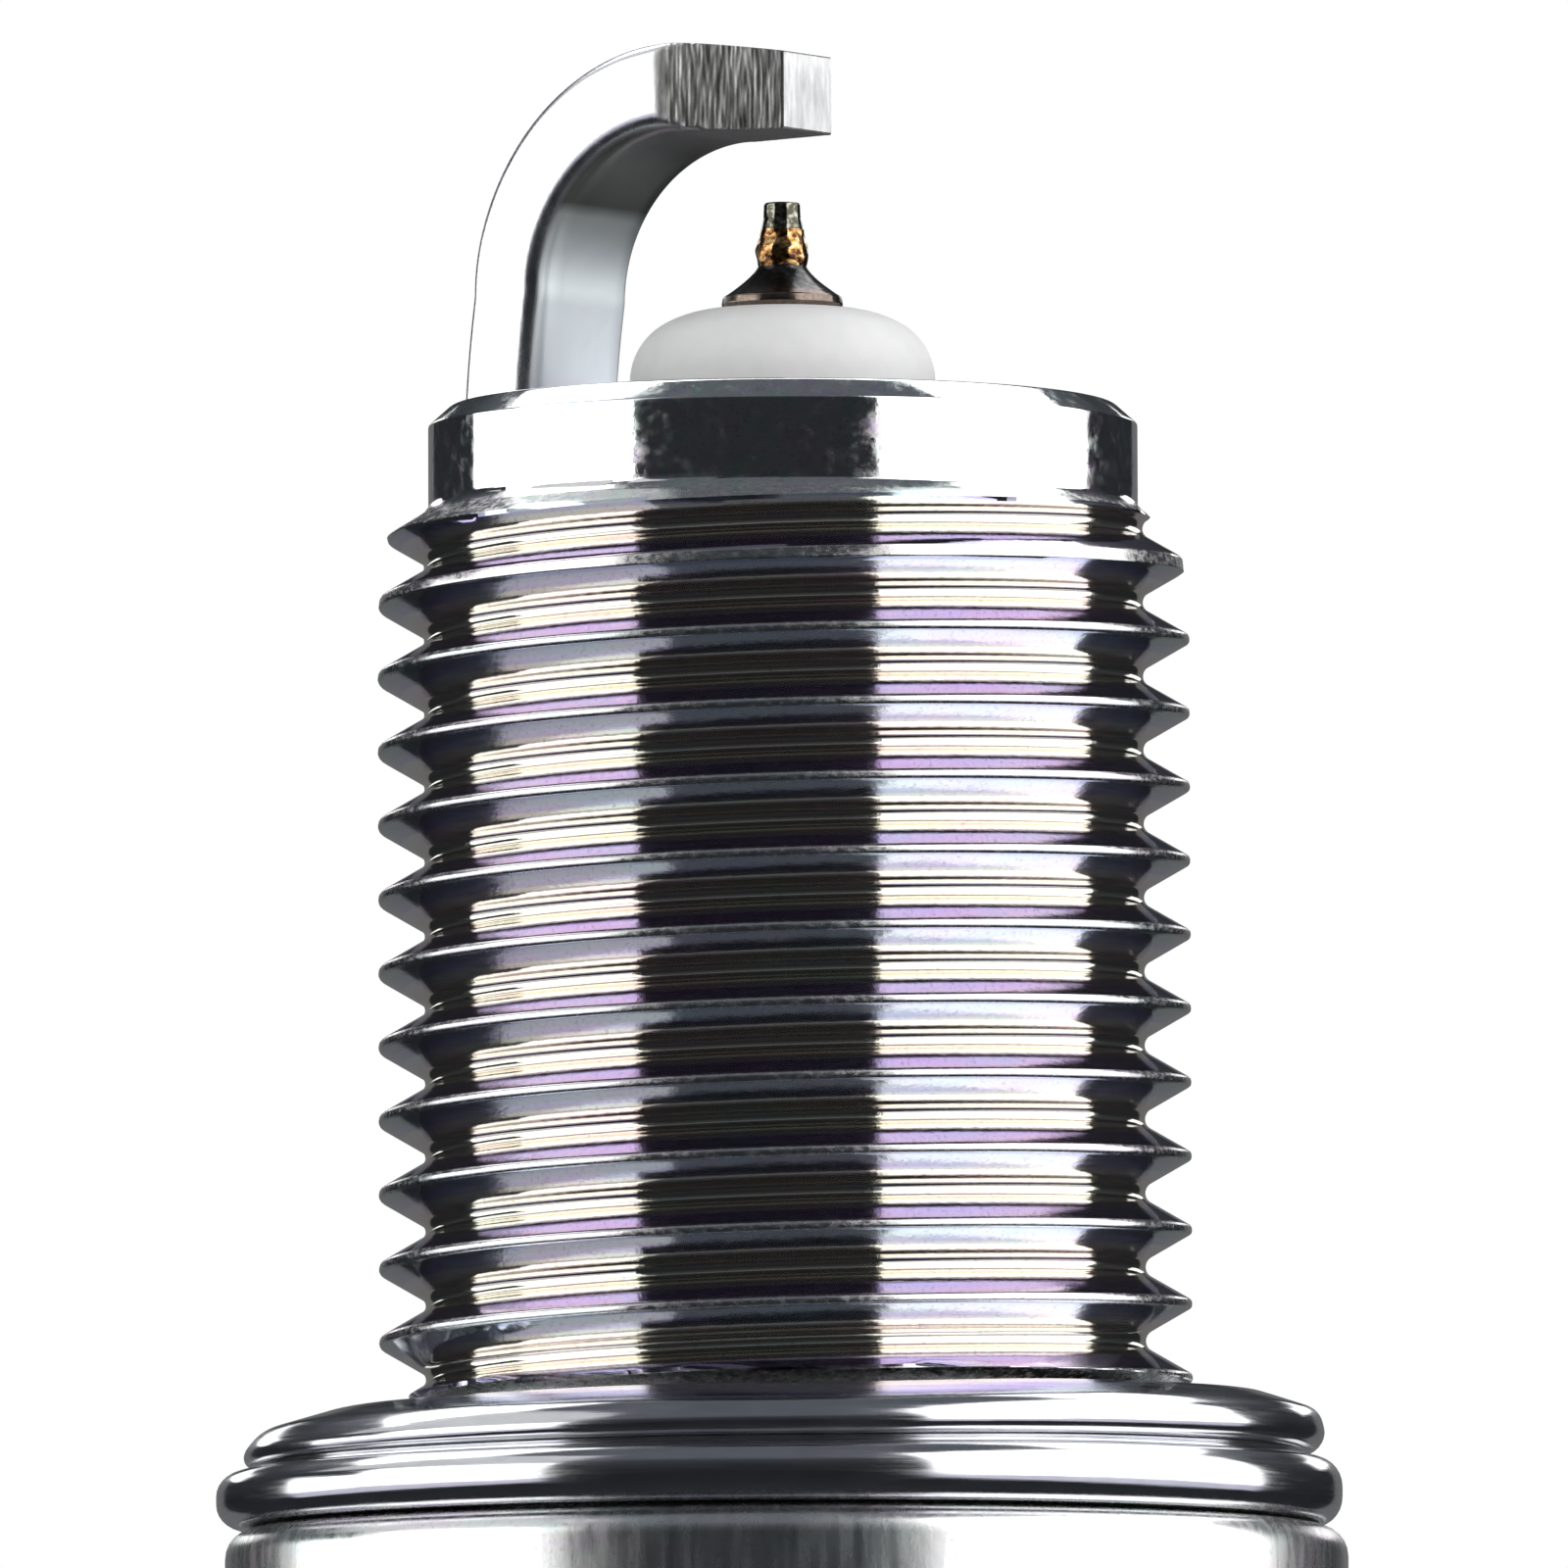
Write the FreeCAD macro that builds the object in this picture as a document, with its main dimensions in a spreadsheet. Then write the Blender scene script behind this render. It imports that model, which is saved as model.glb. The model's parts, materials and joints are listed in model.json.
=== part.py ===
"""Spark plug, M14 x 1.25, 19 mm reach, 16 mm hexagon, fine-wire centre electrode, removable terminal nut.

Frame: +Z along the plug's axis, from the terminal to the firing end. The origin is the centre of
the shell's gasket seat, the plane that every length of a plug is given from. Millimetres.

A body's outline is a list of corners (across, up) written as formulas of the words in SIZES. A
corner with a third entry starts an arc: ("left" or "right", radius).
"""
import FreeCAD
import Part
import Sketcher
import math
import os
import re
from FreeCAD import Placement, Rotation, Vector

SIZES = {
    "shell": [
        ("reach", 19.0, "gasket seat to firing face"),
        ("face_r", 5.6, "flat of the firing face"),
        ("pilot_r", 6.0, "plain pilot in front of the thread"),
        ("pilot_chamfer", 0.35, "height of the pilot's chamfer"),
        ("pilot_low", 17.28, "rear end of the pilot"),
        ("thread_high", 17.14, "front end of the thread's lead-in"),
        ("lead_r", 6.70, "radius where the lead-in steepens"),
        ("lead_low", 16.8, "height where the lead-in steepens"),
        ("full_thread_high", 15.4, "height where the thread reaches its full radius"),
        ("thread_r", 6.87, "thread crest radius, M14"),
        ("thread_root_r", 6.13, "thread root radius"),
        ("thread_pitch", 1.25, "thread pitch"),
        ("thread_crest_flat", 0.14, "width left on the crest"),
        ("thread_root_flat", 0.16, "width of the root"),
        ("thread_phase", 144.0, "angle where the thread's groove starts, degrees"),
        ("groove_start", 1.15, "height where the groove starts"),
        ("groove_rise", 17.0, "rise of the whole groove"),
        ("full_thread_low", 2.45, "rear end of the full thread"),
        ("neck_high", 2.1, "front end of the undercut behind the thread"),
        ("neck_r", 6.1, "undercut that holds the gasket captive"),
        ("collar_r", 9.475, "collar behind the gasket"),
        ("collar_round", 0.5, "rounded front edge of the collar"),
        ("collar_low", -4.5, "rear face of the collar"),
        ("collar_chamfer", 0.35, "chamfer at the collar's rear edge"),
        ("waist_r", 7.35, "heat-shrunk waist between collar and hexagon"),
        ("waist_bulge_r", 2.4, "radius of the waist's bulged wall"),
        ("hex_high", -7.4, "front face of the hexagon"),
        ("hex_low", -13.9, "rear face of the hexagon"),
        ("hex_across", 16.0, "hexagon across its flats"),
        ("hex_blank_r", 9.24, "turned blank of the hexagon"),
        ("hex_chamfer_r", 7.9, "inner radius of the hexagon's chamfer"),
        ("hex_chamfer", 0.75, "height of the hexagon's chamfer"),
        ("lip_r", 6.95, "outer radius of the crimped lip at the hexagon"),
        ("lip_low", -15.3, "rear end of the crimped lip"),
        ("lip_curl_r", 1.55, "outer radius of the lip's curl"),
        ("lip_bore_r", 5.42, "bore of the crimped lip"),
        ("lip_floor", -14.5, "front face of the lip's inside"),
        ("front_bore_r", 4.25, "bore round the insulator's nose"),
        ("front_bore_low", 9.0, "rear end of the front bore"),
        ("ledge_r", 3.75, "bore of the ledge that the insulator seats on"),
        ("ledge_high", 8.4, "front end of the ledge"),
        ("ledge_low", 6.9, "rear end of the ledge's bore"),
        ("seat_fall", 0.6, "fall of the conical seat over its width"),
        ("trunk_bore_r", 4.75, "bore round the insulator's trunk"),
        ("trunk_bore_low", -3.7, "rear end of the trunk's bore"),
        ("hex_bore_r", 6.05, "bore in the hexagon"),
        ("hex_bore_high", -4.5, "front end of the hexagon's bore"),
    ],
    "gasket": [
        ("gasket_bore_r", 6.5, "bore of the gasket"),
        ("gasket_r", 9.5, "rear fold, the widest"),
        ("gasket_front_r", 9.1, "front fold"),
        ("gasket_top_bore_r", 7.0, "inner edge of the front layer"),
        ("strip", 0.45, "thickness of the folded steel strip"),
        ("fold_gap", 0.1, "gap inside each outer fold"),
        ("layer_gap", 0.04, "gap between the two folds"),
    ],
    "insulator": [
        ("nose_high", 20.64, "tip of the nose"),
        ("nose_r", 2.585, "radius of the nose"),
        ("nose_crown_r", 2.0, "arc of the nose's crown"),
        ("nose_edge_r", 1.115, "arc of the nose's edge"),
        ("nose_join_r", 2.0, "radius where the two arcs meet"),
        ("nose_join_high", 20.4, "height where the two arcs meet"),
        ("nose_edge_low", 19.42, "height where the nose's side starts"),
        ("nose_bore_r", 1.05, "bore for the centre electrode"),
        ("leg_r", 3.3, "radius of the leg in front of its shoulder"),
        ("leg_low", 7.6, "rear end of the leg's taper"),
        ("shoulder_r", 3.55, "inner radius of the leg's conical shoulder"),
        ("washer", 0.35, "height of the packing washer between the seats"),
        ("washer_bore_r", 3.8, "bore of the packing washer"),
        ("washer_r", 4.6, "outer radius of the packing washer"),
        ("trunk_r", 4.65, "trunk inside the shell"),
        ("flange_r", 5.95, "large flange inside the hexagon"),
        ("flange_high", -4.95, "front end of the flange"),
        ("flange_cone", 0.9, "height of the cone in front of the flange"),
        ("flange_low", -10.2, "rear end of the flange"),
        ("throat_r", 5.05, "throat inside the packing"),
        ("throat_high", -10.75, "front end of the throat"),
        ("barrel_r", 5.25, "glazed barrel behind the shell"),
        ("barrel_high", -16.0, "front end of the barrel"),
        ("barrel_cone", 0.3, "height of the cone between throat and barrel"),
        ("rib_high", -27.4, "front edge of the first groove"),
        ("rib_groove", 1.5, "width of each groove"),
        ("rib_pitch", 2.35, "spacing of the grooves"),
        ("rib_groove_r", 0.8, "arc of each groove"),
        ("head_cone", -38.4, "front end of the head's cone"),
        ("head_r", 4.25, "radius at the head's rounded edge"),
        ("head_round", 0.7, "rounded edge of the head"),
        ("head_low", -41.1, "rear face of the insulator"),
        ("core_bore_r", 1.95, "bore for seals, resistor and stud"),
        ("core_bore_high", 3.9, "front end of the wide bore"),
        ("core_cone_high", 4.6, "front end of the cone that holds the electrode's head"),
    ],
    "electrodes": [
        ("sheath_r", 1.006, "centre electrode"),
        ("collar_high", 20.89, "front edge of the electrode's plain end"),
        ("cone_high", 21.37, "top of the electrode's cone"),
        ("cone_r", 0.42, "radius of the cone's top"),
        ("sheath_head_r", 1.65, "head that hangs in the insulator"),
        ("sheath_head_low", 3.2, "rear face of the head"),
        ("sheath_tail_r", 0.9, "tail gripped by the glass"),
        ("sheath_tail_low", 2.2, "rear end of the tail"),
        ("copper_r", 0.55, "copper core"),
        ("copper_high", 18.0, "front end of the copper core"),
        ("copper_dome", 0.3, "height of the copper core's rounded front"),
        ("weld_r", 0.44, "laser-welded zone under the tip"),
        ("weld_step", 0.07, "taper at each end of the welded zone"),
        ("weld_high", 22.0, "top of the welded zone"),
        ("tip_r", 0.3, "noble metal wire tip"),
        ("tip_high", 22.46, "firing face of the tip"),
        ("tip_edge", 0.04, "chamfer of the tip"),
        ("strap_angle", 146.0, "direction of the ground electrode's foot, degrees"),
        ("strap_out", 5.7, "outer face of the foot"),
        ("strap", 1.42, "thickness of the ground electrode"),
        ("strap_width", 2.6, "width of the ground electrode"),
        ("strap_lean", 0.2, "lean of the leg towards the axis"),
        ("strap_foot", 0.6, "height of the upright foot"),
        ("strap_bend_start", 21.07, "height where the bend starts"),
        ("strap_bend_r", 4.03, "outer radius of the bend"),
        ("strap_end", 0.5, "overhang past the axis"),
        ("strap_end_width", 1.49, "width of the trimmed end"),
        ("strap_trim", 1.74, "distance from the axis where the trim starts"),
        ("strap_edge", 0.25, "rounded long edges"),
        ("bead_high", 0.2, "height of the weld bead"),
        ("bead_out", 0.34, "width of the weld bead at each side"),
        ("bead_inner", 4.6, "inner end of the bead"),
        ("bead_outer", 5.4, "outer end of the bead"),
    ],
    "core": [
        ("seal_low", -1.5, "rear face of the front glass seal"),
        ("resistor_low", -9.5, "rear face of the resistor"),
        ("rear_seal_low", -13.2, "rear face of the rear glass seal"),
        ("stud_front", -10.6, "front end of the stud, inside the rear seal"),
        ("stud_key_r", 1.6, "keyed end of the stud"),
        ("stud_key_groove_r", 1.35, "grooves of the keyed end"),
        ("stud_key_pitch", 0.8, "spacing of the grooves"),
        ("stud_r", 1.75, "shank of the stud"),
        ("stud_shank_high", -14.0, "front end of the shank"),
        ("stud_flange_r", 2.9, "flange on the insulator's head"),
        ("stud_flange", 0.7, "thickness of the flange"),
        ("stud_undercut_r", 1.5, "undercut behind the flange"),
        ("stud_undercut", 0.6, "length of the undercut"),
        ("stud_thread_r", 1.97, "terminal thread crest, M4"),
        ("stud_root_r", 1.55, "terminal thread root"),
        ("stud_pitch", 0.7, "terminal thread pitch"),
        ("stud_crest_flat", 0.09, "width left on the crest"),
        ("stud_root_flat", 0.1, "width of the root"),
        ("stud_end", -49.3, "rear end of the stud"),
        ("stud_chamfer", 0.5, "chamfer of the stud's end"),
    ],
    "terminal nut": [
        ("nut_r", 3.175, "terminal nut, quarter inch"),
        ("nut_bore_r", 2.02, "bore at the thread's major radius"),
        ("nut_high", -41.8, "face on the stud's flange"),
        ("nut_base_low", -44.6, "rear end of the base"),
        ("nut_waist_r", 2.45, "waist that a cap's spring snaps into"),
        ("nut_waist_high", -45.5, "front end of the waist"),
        ("nut_waist_low", -46.7, "rear end of the waist"),
        ("nut_head_high", -47.5, "front end of the head"),
        ("nut_head_low", -49.5, "rear end of the head's side"),
        ("nut_end_r", 2.45, "flat of the head's end"),
        ("nut_low", -50.5, "end of the plug"),
        ("nut_bevel", 0.25, "bevels of the base and the bore"),
    ],
    "packing": [
        ("front_ring_low", -11.45, "rear face of the front packing ring"),
        ("rear_ring_high", -13.75, "front face of the rear packing ring"),
        ("ring_bore_r", 5.3, "bore of the packing rings, which pass over the barrel"),
        ("talc_bore_r", 5.1, "bore of the powder, rammed against the throat"),
        ("ring_round", 0.2, "rounded edges of the packing rings"),
    ],
}
RIB_GROOVES = 5
STUD_KEYS = 3
WORDS = [word for group in SIZES.values() for word, _, _ in group]

doc = FreeCAD.newDocument("spark_plug")
sheet = doc.addObject("Spreadsheet::Sheet", "Sizes")


def fill_sheet():
    """Write each driving dimension to the sheet: its meaning, its value and its word."""
    row = 1
    for group, rows in SIZES.items():
        sheet.set(f"A{row}", group)
        row += 1
        for word, size, meaning in rows:
            sheet.set(f"A{row}", meaning)
            sheet.set(f"B{row}", str(size))
            sheet.setAlias(f"B{row}", word)
            row += 1
    doc.recompute()


def formula(text):
    """A formula with each word of SIZES written as a cell of the sheet."""
    return re.sub(r"[a-z_]+", lambda m: f"Sizes.{m[0]}" if m[0] in WORDS else m[0], text)


def size(text):
    """The value of a formula."""
    return float(sheet.evalExpression(formula(text)))


def bind(thing, prop, text):
    """Bind a property to a formula of the sheet."""
    thing.setExpression(prop, formula(text))


def new_body(name):
    body = doc.addObject("PartDesign::Body", name)
    body.Label = name
    return body


def origin_part(body, role):
    """A plane or axis of the body's own origin."""
    return next(part for part in body.Origin.OriginFeatures if part.Role == role)


def new_sketch(body, name, plane, height="0"):
    sketch = body.newObject("Sketcher::SketchObject", name)
    sketch.AttachmentSupport = [(origin_part(body, plane), "")]
    sketch.MapMode = "FlatFace"
    if height != "0":
        bind(sketch, "AttachmentOffset.Base.z", height)
    return sketch


def arc_between(start, end, side, radius):
    """The arc from start to end that turns left or right, and whether it is stored end first."""
    chord = end - start
    half = chord.Length / 2
    reach = math.sqrt(max(radius**2 - half**2, 0.0))
    left = Vector(-chord.y, chord.x, 0).normalize()
    centre = start + chord / 2 + left * (reach if side == "left" else -reach)
    first, last = (start, end) if side == "left" else (end, start)
    angles = [math.atan2(p.y - centre.y, p.x - centre.x) for p in (first, last)]
    if angles[1] < angles[0]:
        angles[1] += 2 * math.pi
    circle = Part.Circle(centre, Vector(0, 0, 1), radius)
    return Part.ArcOfCircle(circle, *angles), side == "right"


def pin_vertex(sketch, edge, vertex, across, up):
    """Hold a vertex at the formulas across and up."""
    for kind, text, axis in (("DistanceX", across, -2), ("DistanceY", up, -1)):
        if text == "0":
            sketch.addConstraint(Sketcher.Constraint("PointOnObject", edge, vertex, axis))
            continue
        held = Sketcher.Constraint(kind, -1, 1, edge, vertex, size(text))
        bind(sketch, f"Constraints[{sketch.addConstraint(held)}]", text)


def outline(sketch, corners):
    """Draw a closed outline through the corners and bind each to its formulas."""
    points = [Vector(size(corner[0]), size(corner[1]), 0) for corner in corners]
    ends = []
    for i, corner in enumerate(corners):
        start, end = points[i], points[(i + 1) % len(points)]
        if len(corner) == 2:
            edge = sketch.addGeometry(Part.LineSegment(start, end))
            ends.append((edge, 1, 2))
            continue
        side, radius_text = corner[2]
        radius = size(radius_text)
        arc, end_first = arc_between(start, end, side, radius)
        edge = sketch.addGeometry(arc)
        ends.append((edge, 2, 1) if end_first else (edge, 1, 2))
        if abs((end - start).Length - 2 * radius) > 1e-6:
            held = Sketcher.Constraint("Radius", edge, radius)
            bind(sketch, f"Constraints[{sketch.addConstraint(held)}]", radius_text)
        else:
            held = Sketcher.Constraint("DistanceX", -1, 1, edge, 3, size(corner[0]))
            bind(sketch, f"Constraints[{sketch.addConstraint(held)}]", corner[0])
    for i, (edge, start_vertex, _) in enumerate(ends):
        before, _, end_vertex = ends[i - 1]
        sketch.addConstraint(Sketcher.Constraint("Coincident", before, end_vertex, edge, start_vertex))
        pin_vertex(sketch, edge, start_vertex, corners[i][0], corners[i][1])


def turned(name, corners):
    """A body turned about Z from one closed outline of (radius, height)."""
    body = new_body(name)
    sketch = new_sketch(body, f"{name}_outline", "XZ_Plane")
    outline(sketch, corners)
    turn = body.newObject("PartDesign::Revolution", f"{name}_turned")
    turn.Profile = sketch
    turn.ReferenceAxis = (sketch, ["V_Axis"])
    turn.Angle = 360
    return body


def cut_helix(body, words, start, rise, flare):
    """Cut a right-hand V groove from start up over rise; words are its crest, root, pitch and flats."""
    crest_r, root_r, pitch, crest_flat, root_flat = words
    half_mouth = f"({pitch} - {crest_flat}) / 2 * (1 + {flare})"
    half_root = f"{root_flat} / 2"
    mouth_r = f"({crest_r} + ({crest_r} - {root_r}) * {flare})"
    sketch = new_sketch(body, f"{body.Name}_groove", "XZ_Plane")
    outline(sketch, [
        (root_r, f"{start} - {half_root}"),
        (mouth_r, f"{start} - {half_mouth}"),
        (mouth_r, f"{start} + {half_mouth}"),
        (root_r, f"{start} + {half_root}"),
    ])
    helix = body.newObject("PartDesign::SubtractiveHelix", f"{body.Name}_thread")
    helix.Profile = sketch
    helix.ReferenceAxis = (sketch, ["V_Axis"])
    helix.Mode = 0
    helix.LeftHanded = False
    bind(helix, "Pitch", pitch)
    bind(helix, "Height", rise)
    return helix


def seat(radius, drop="0"):
    """Height of the shell's conical seat at a radius, less a drop."""
    return f"ledge_low - seat_fall * ({radius} - ledge_r) / (trunk_bore_r - ledge_r) - {drop}"


def make_shell():
    """Plated steel shell: pilot, thread, undercut, collar, waist, hexagon and crimped lip."""
    shell = turned("shell", [
        ("front_bore_r", "reach"),
        ("face_r", "reach"),
        ("pilot_r", "reach - pilot_chamfer"),
        ("pilot_r", "pilot_low"),
        ("thread_root_r", "thread_high"),
        ("lead_r", "lead_low"),
        ("thread_r", "full_thread_high"),
        ("thread_r", "full_thread_low"),
        ("neck_r", "neck_high"),
        ("neck_r", "0"),
        ("collar_r - collar_round", "0", ("right", "collar_round")),
        ("collar_r", "-collar_round"),
        ("collar_r", "collar_low + collar_chamfer"),
        ("collar_r - collar_chamfer", "collar_low"),
        ("waist_r", "collar_low", ("right", "waist_bulge_r")),
        ("waist_r", "hex_high"),
        ("hex_chamfer_r", "hex_high"),
        ("hex_blank_r", "hex_high - hex_chamfer"),
        ("hex_blank_r", "hex_low + hex_chamfer"),
        ("hex_chamfer_r", "hex_low"),
        ("lip_r", "hex_low", ("right", "lip_curl_r")),
        ("lip_bore_r + 0.2", "lip_low"),
        ("lip_bore_r", "lip_low + 0.2"),
        ("lip_bore_r", "lip_floor"),
        ("hex_bore_r", "lip_floor"),
        ("hex_bore_r", "hex_bore_high"),
        ("trunk_bore_r", "trunk_bore_low"),
        ("trunk_bore_r", seat("trunk_bore_r")),
        ("ledge_r", "ledge_low"),
        ("ledge_r", "ledge_high"),
        ("front_bore_r", "front_bore_low"),
    ])
    ring = new_sketch(shell, "hexagon_outline", "XY_Plane", "hex_low")
    corner_r = "hex_across / sqrt(3)"
    turns = [f"(30 + 60 * {i} - thread_phase)" for i in range(6)]
    outline(ring, [(f"{corner_r} * cos({t})", f"{corner_r} * sin({t})") for t in turns])
    rim = ring.addGeometry(Part.Circle(Vector(), Vector(0, 0, 1), size("collar_r + 1")))
    ring.addConstraint(Sketcher.Constraint("Coincident", rim, 3, -1, 1))
    held = Sketcher.Constraint("Radius", rim, size("collar_r + 1"))
    bind(ring, f"Constraints[{ring.addConstraint(held)}]", "collar_r + 1")
    flats = shell.newObject("PartDesign::Pocket", "hexagon")
    flats.Profile = ring
    flats.Reversed = True
    bind(flats, "Length", "hex_high - hex_low")
    cut_helix(shell, ("thread_r", "thread_root_r", "thread_pitch", "thread_crest_flat",
                      "thread_root_flat"), "groove_start", "groove_rise", "0.08")
    bind(shell, "Placement.Rotation.Angle", "thread_phase")
    return shell


def make_gasket():
    """Captive gasket: one steel strip folded into two ridges, shut at the outside."""
    lower_fold = "2 * strip + fold_gap"
    upper = f"({lower_fold} + layer_gap)"
    fold_r = "(strip + fold_gap / 2)"
    turn_r = "(strip + layer_gap / 2)"
    rear = f"gasket_r - {fold_r}"
    front = f"gasket_front_r - {fold_r}"
    inner = f"gasket_bore_r + {turn_r}"
    return turned("gasket", [
        ("gasket_bore_r", "0"),
        (rear, "0", ("left", fold_r)),
        (rear, lower_fold),
        (inner, lower_fold, ("right", "layer_gap / 2")),
        (inner, upper),
        (front, upper, ("left", fold_r)),
        (front, f"{upper} + {lower_fold}"),
        ("gasket_top_bore_r", f"{upper} + {lower_fold}"),
        ("gasket_top_bore_r", f"{upper} + strip + fold_gap"),
        (front, f"{upper} + strip + fold_gap", ("right", "fold_gap / 2")),
        (front, f"{upper} + strip"),
        (inner, f"{upper} + strip", ("left", turn_r)),
        (inner, "strip + fold_gap"),
        (rear, "strip + fold_gap", ("right", "fold_gap / 2")),
        (rear, "strip"),
        ("gasket_bore_r", "strip"),
    ])


def make_insulator():
    """One-piece alumina insulator: nose, shoulder, trunk, flange, throat, ribbed barrel and head."""
    ribs = []
    for i in range(RIB_GROOVES):
        high = f"rib_high - {i} * rib_pitch"
        ribs.append(("barrel_r", high, ("left", "rib_groove_r")))
        ribs.append(("barrel_r", f"{high} - rib_groove"))
    return turned("insulator", [
        ("nose_bore_r", "nose_high", ("right", "nose_crown_r")),
        ("nose_join_r", "nose_join_high", ("right", "nose_edge_r")),
        ("nose_r", "nose_edge_low"),
        ("leg_r", "leg_low"),
        ("shoulder_r", seat("shoulder_r", "washer")),
        ("trunk_r", seat("trunk_r", "washer")),
        ("trunk_r", "flange_high + flange_cone"),
        ("flange_r", "flange_high"),
        ("flange_r", "flange_low"),
        ("throat_r", "throat_high"),
        ("throat_r", "barrel_high + barrel_cone"),
        ("barrel_r", "barrel_high"),
        *ribs,
        ("barrel_r", "head_cone"),
        ("head_r", "head_low + head_round", ("right", "head_round")),
        ("head_r - head_round", "head_low"),
        ("core_bore_r", "head_low"),
        ("core_bore_r", "core_bore_high"),
        ("nose_bore_r", "core_cone_high"),
    ])


def make_washer():
    """Packing washer squeezed between the shell's seat and the insulator's shoulder."""
    return turned("seat_packing_washer", [
        ("washer_bore_r", seat("washer_bore_r")),
        ("washer_r", seat("washer_r")),
        ("washer_r", seat("washer_r", "washer")),
        ("washer_bore_r", seat("washer_bore_r", "washer")),
    ])


def packing_ring(name, high, low):
    """A steel ring pressed between the insulator's throat and the shell's bore."""
    return turned(name, [
        ("ring_bore_r + ring_round", high),
        ("hex_bore_r - ring_round", high, ("right", "ring_round")),
        ("hex_bore_r", f"{high} - ring_round"),
        ("hex_bore_r", f"{low} + ring_round", ("right", "ring_round")),
        ("hex_bore_r - ring_round", low),
        ("ring_bore_r + ring_round", low, ("right", "ring_round")),
        ("ring_bore_r", f"{low} + ring_round"),
        ("ring_bore_r", f"{high} - ring_round", ("right", "ring_round")),
    ])


def make_packing():
    """Two rings with talc powder rammed between them, which seal and hold the insulator."""
    packing_ring("front_packing_ring", "throat_high", "front_ring_low")
    turned("talc_packing", [
        ("talc_bore_r", "front_ring_low"),
        ("hex_bore_r", "front_ring_low"),
        ("hex_bore_r", "rear_ring_high"),
        ("talc_bore_r", "rear_ring_high"),
    ])
    packing_ring("rear_packing_ring", "rear_ring_high", "lip_floor")


def make_centre_electrode():
    """Nickel sheath with its copper core, the welded zone and the noble metal tip."""
    head_cone_fall = ("(core_cone_high - core_bore_high)"
                      " * (sheath_head_r - nose_bore_r) / (core_bore_r - nose_bore_r)")
    turned("centre_electrode", [
        ("0", "cone_high"),
        ("cone_r", "cone_high"),
        ("sheath_r", "collar_high"),
        ("sheath_r", "core_cone_high + 0.1"),
        ("nose_bore_r", "core_cone_high"),
        ("sheath_head_r", f"core_cone_high - {head_cone_fall}"),
        ("sheath_head_r", "sheath_head_low"),
        ("sheath_tail_r", "sheath_head_low"),
        ("sheath_tail_r", "sheath_tail_low"),
        ("copper_r", "sheath_tail_low"),
        ("copper_r", "copper_high - copper_dome"),
        ("copper_r / 2", "copper_high"),
        ("0", "copper_high"),
    ])
    turned("electrode_copper_core", [
        ("0", "copper_high"),
        ("copper_r / 2", "copper_high"),
        ("copper_r", "copper_high - copper_dome"),
        ("copper_r", "sheath_tail_low"),
        ("0", "sheath_tail_low"),
    ])
    turned("tip_weld", [
        ("0", "weld_high"),
        ("tip_r", "weld_high"),
        ("weld_r", "weld_high - weld_step"),
        ("weld_r", "cone_high + weld_step"),
        ("cone_r", "cone_high"),
        ("0", "cone_high"),
    ])
    turned("firing_tip", [
        ("0", "tip_high"),
        ("tip_r - tip_edge", "tip_high"),
        ("tip_r", "tip_high - tip_edge"),
        ("tip_r", "weld_high"),
        ("0", "weld_high"),
    ])
    return head_cone_fall


def stud_keys():
    """The grooved end of the stud, from its front end rearwards."""
    corners = [("stud_key_r", "stud_front")]
    for i in range(STUD_KEYS):
        high = f"stud_front - {i} * stud_key_pitch"
        corners.append(("stud_key_r", f"{high} - stud_key_pitch / 4"))
        corners.append(("stud_key_groove_r", f"{high} - stud_key_pitch / 2"))
        corners.append(("stud_key_groove_r", f"{high} - stud_key_pitch * 3 / 4"))
        corners.append(("stud_key_r", f"{high} - stud_key_pitch"))
    return corners[1:]


def make_core(head_cone_fall):
    """Front glass seal, resistor and rear glass seal inside the insulator."""
    turned("front_glass_seal", [
        ("0", "sheath_tail_low"),
        ("sheath_tail_r", "sheath_tail_low"),
        ("sheath_tail_r", "sheath_head_low"),
        ("sheath_head_r", "sheath_head_low"),
        ("sheath_head_r", f"core_cone_high - {head_cone_fall}"),
        ("core_bore_r", "core_bore_high"),
        ("core_bore_r", "seal_low"),
        ("0", "seal_low"),
    ])
    turned("resistor", [
        ("0", "seal_low"),
        ("core_bore_r", "seal_low"),
        ("core_bore_r", "resistor_low"),
        ("0", "resistor_low"),
    ])
    turned("rear_glass_seal", [
        ("0", "resistor_low"),
        ("core_bore_r", "resistor_low"),
        ("core_bore_r", "rear_seal_low"),
        ("stud_key_r", "rear_seal_low"),
        *reversed(stud_keys()),
        ("stud_key_r", "stud_front"),
        ("0", "stud_front"),
    ])


def make_stud():
    """Steel terminal stud: keyed end in the glass, shank, flange and M4 thread."""
    flange_low = "head_low - stud_flange"
    stud = turned("terminal_stud", [
        ("0", "stud_front"),
        ("stud_key_r", "stud_front"),
        *stud_keys(),
        ("stud_key_r", "stud_shank_high + 0.2"),
        ("stud_r", "stud_shank_high"),
        ("stud_r", "head_low"),
        ("stud_flange_r", "head_low"),
        ("stud_flange_r", flange_low),
        ("stud_undercut_r", flange_low),
        ("stud_undercut_r", f"{flange_low} - stud_undercut"),
        ("stud_thread_r", f"{flange_low} - stud_undercut - (stud_thread_r - stud_undercut_r)"),
        ("stud_thread_r", "stud_end + stud_chamfer"),
        ("stud_thread_r - stud_chamfer", "stud_end"),
        ("0", "stud_end"),
    ])
    cut_helix(stud, ("stud_thread_r", "stud_root_r", "stud_pitch", "stud_crest_flat",
                     "stud_root_flat"), "stud_end - stud_pitch", "stud_pitch * 11.6", "0.06")
    return stud


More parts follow.
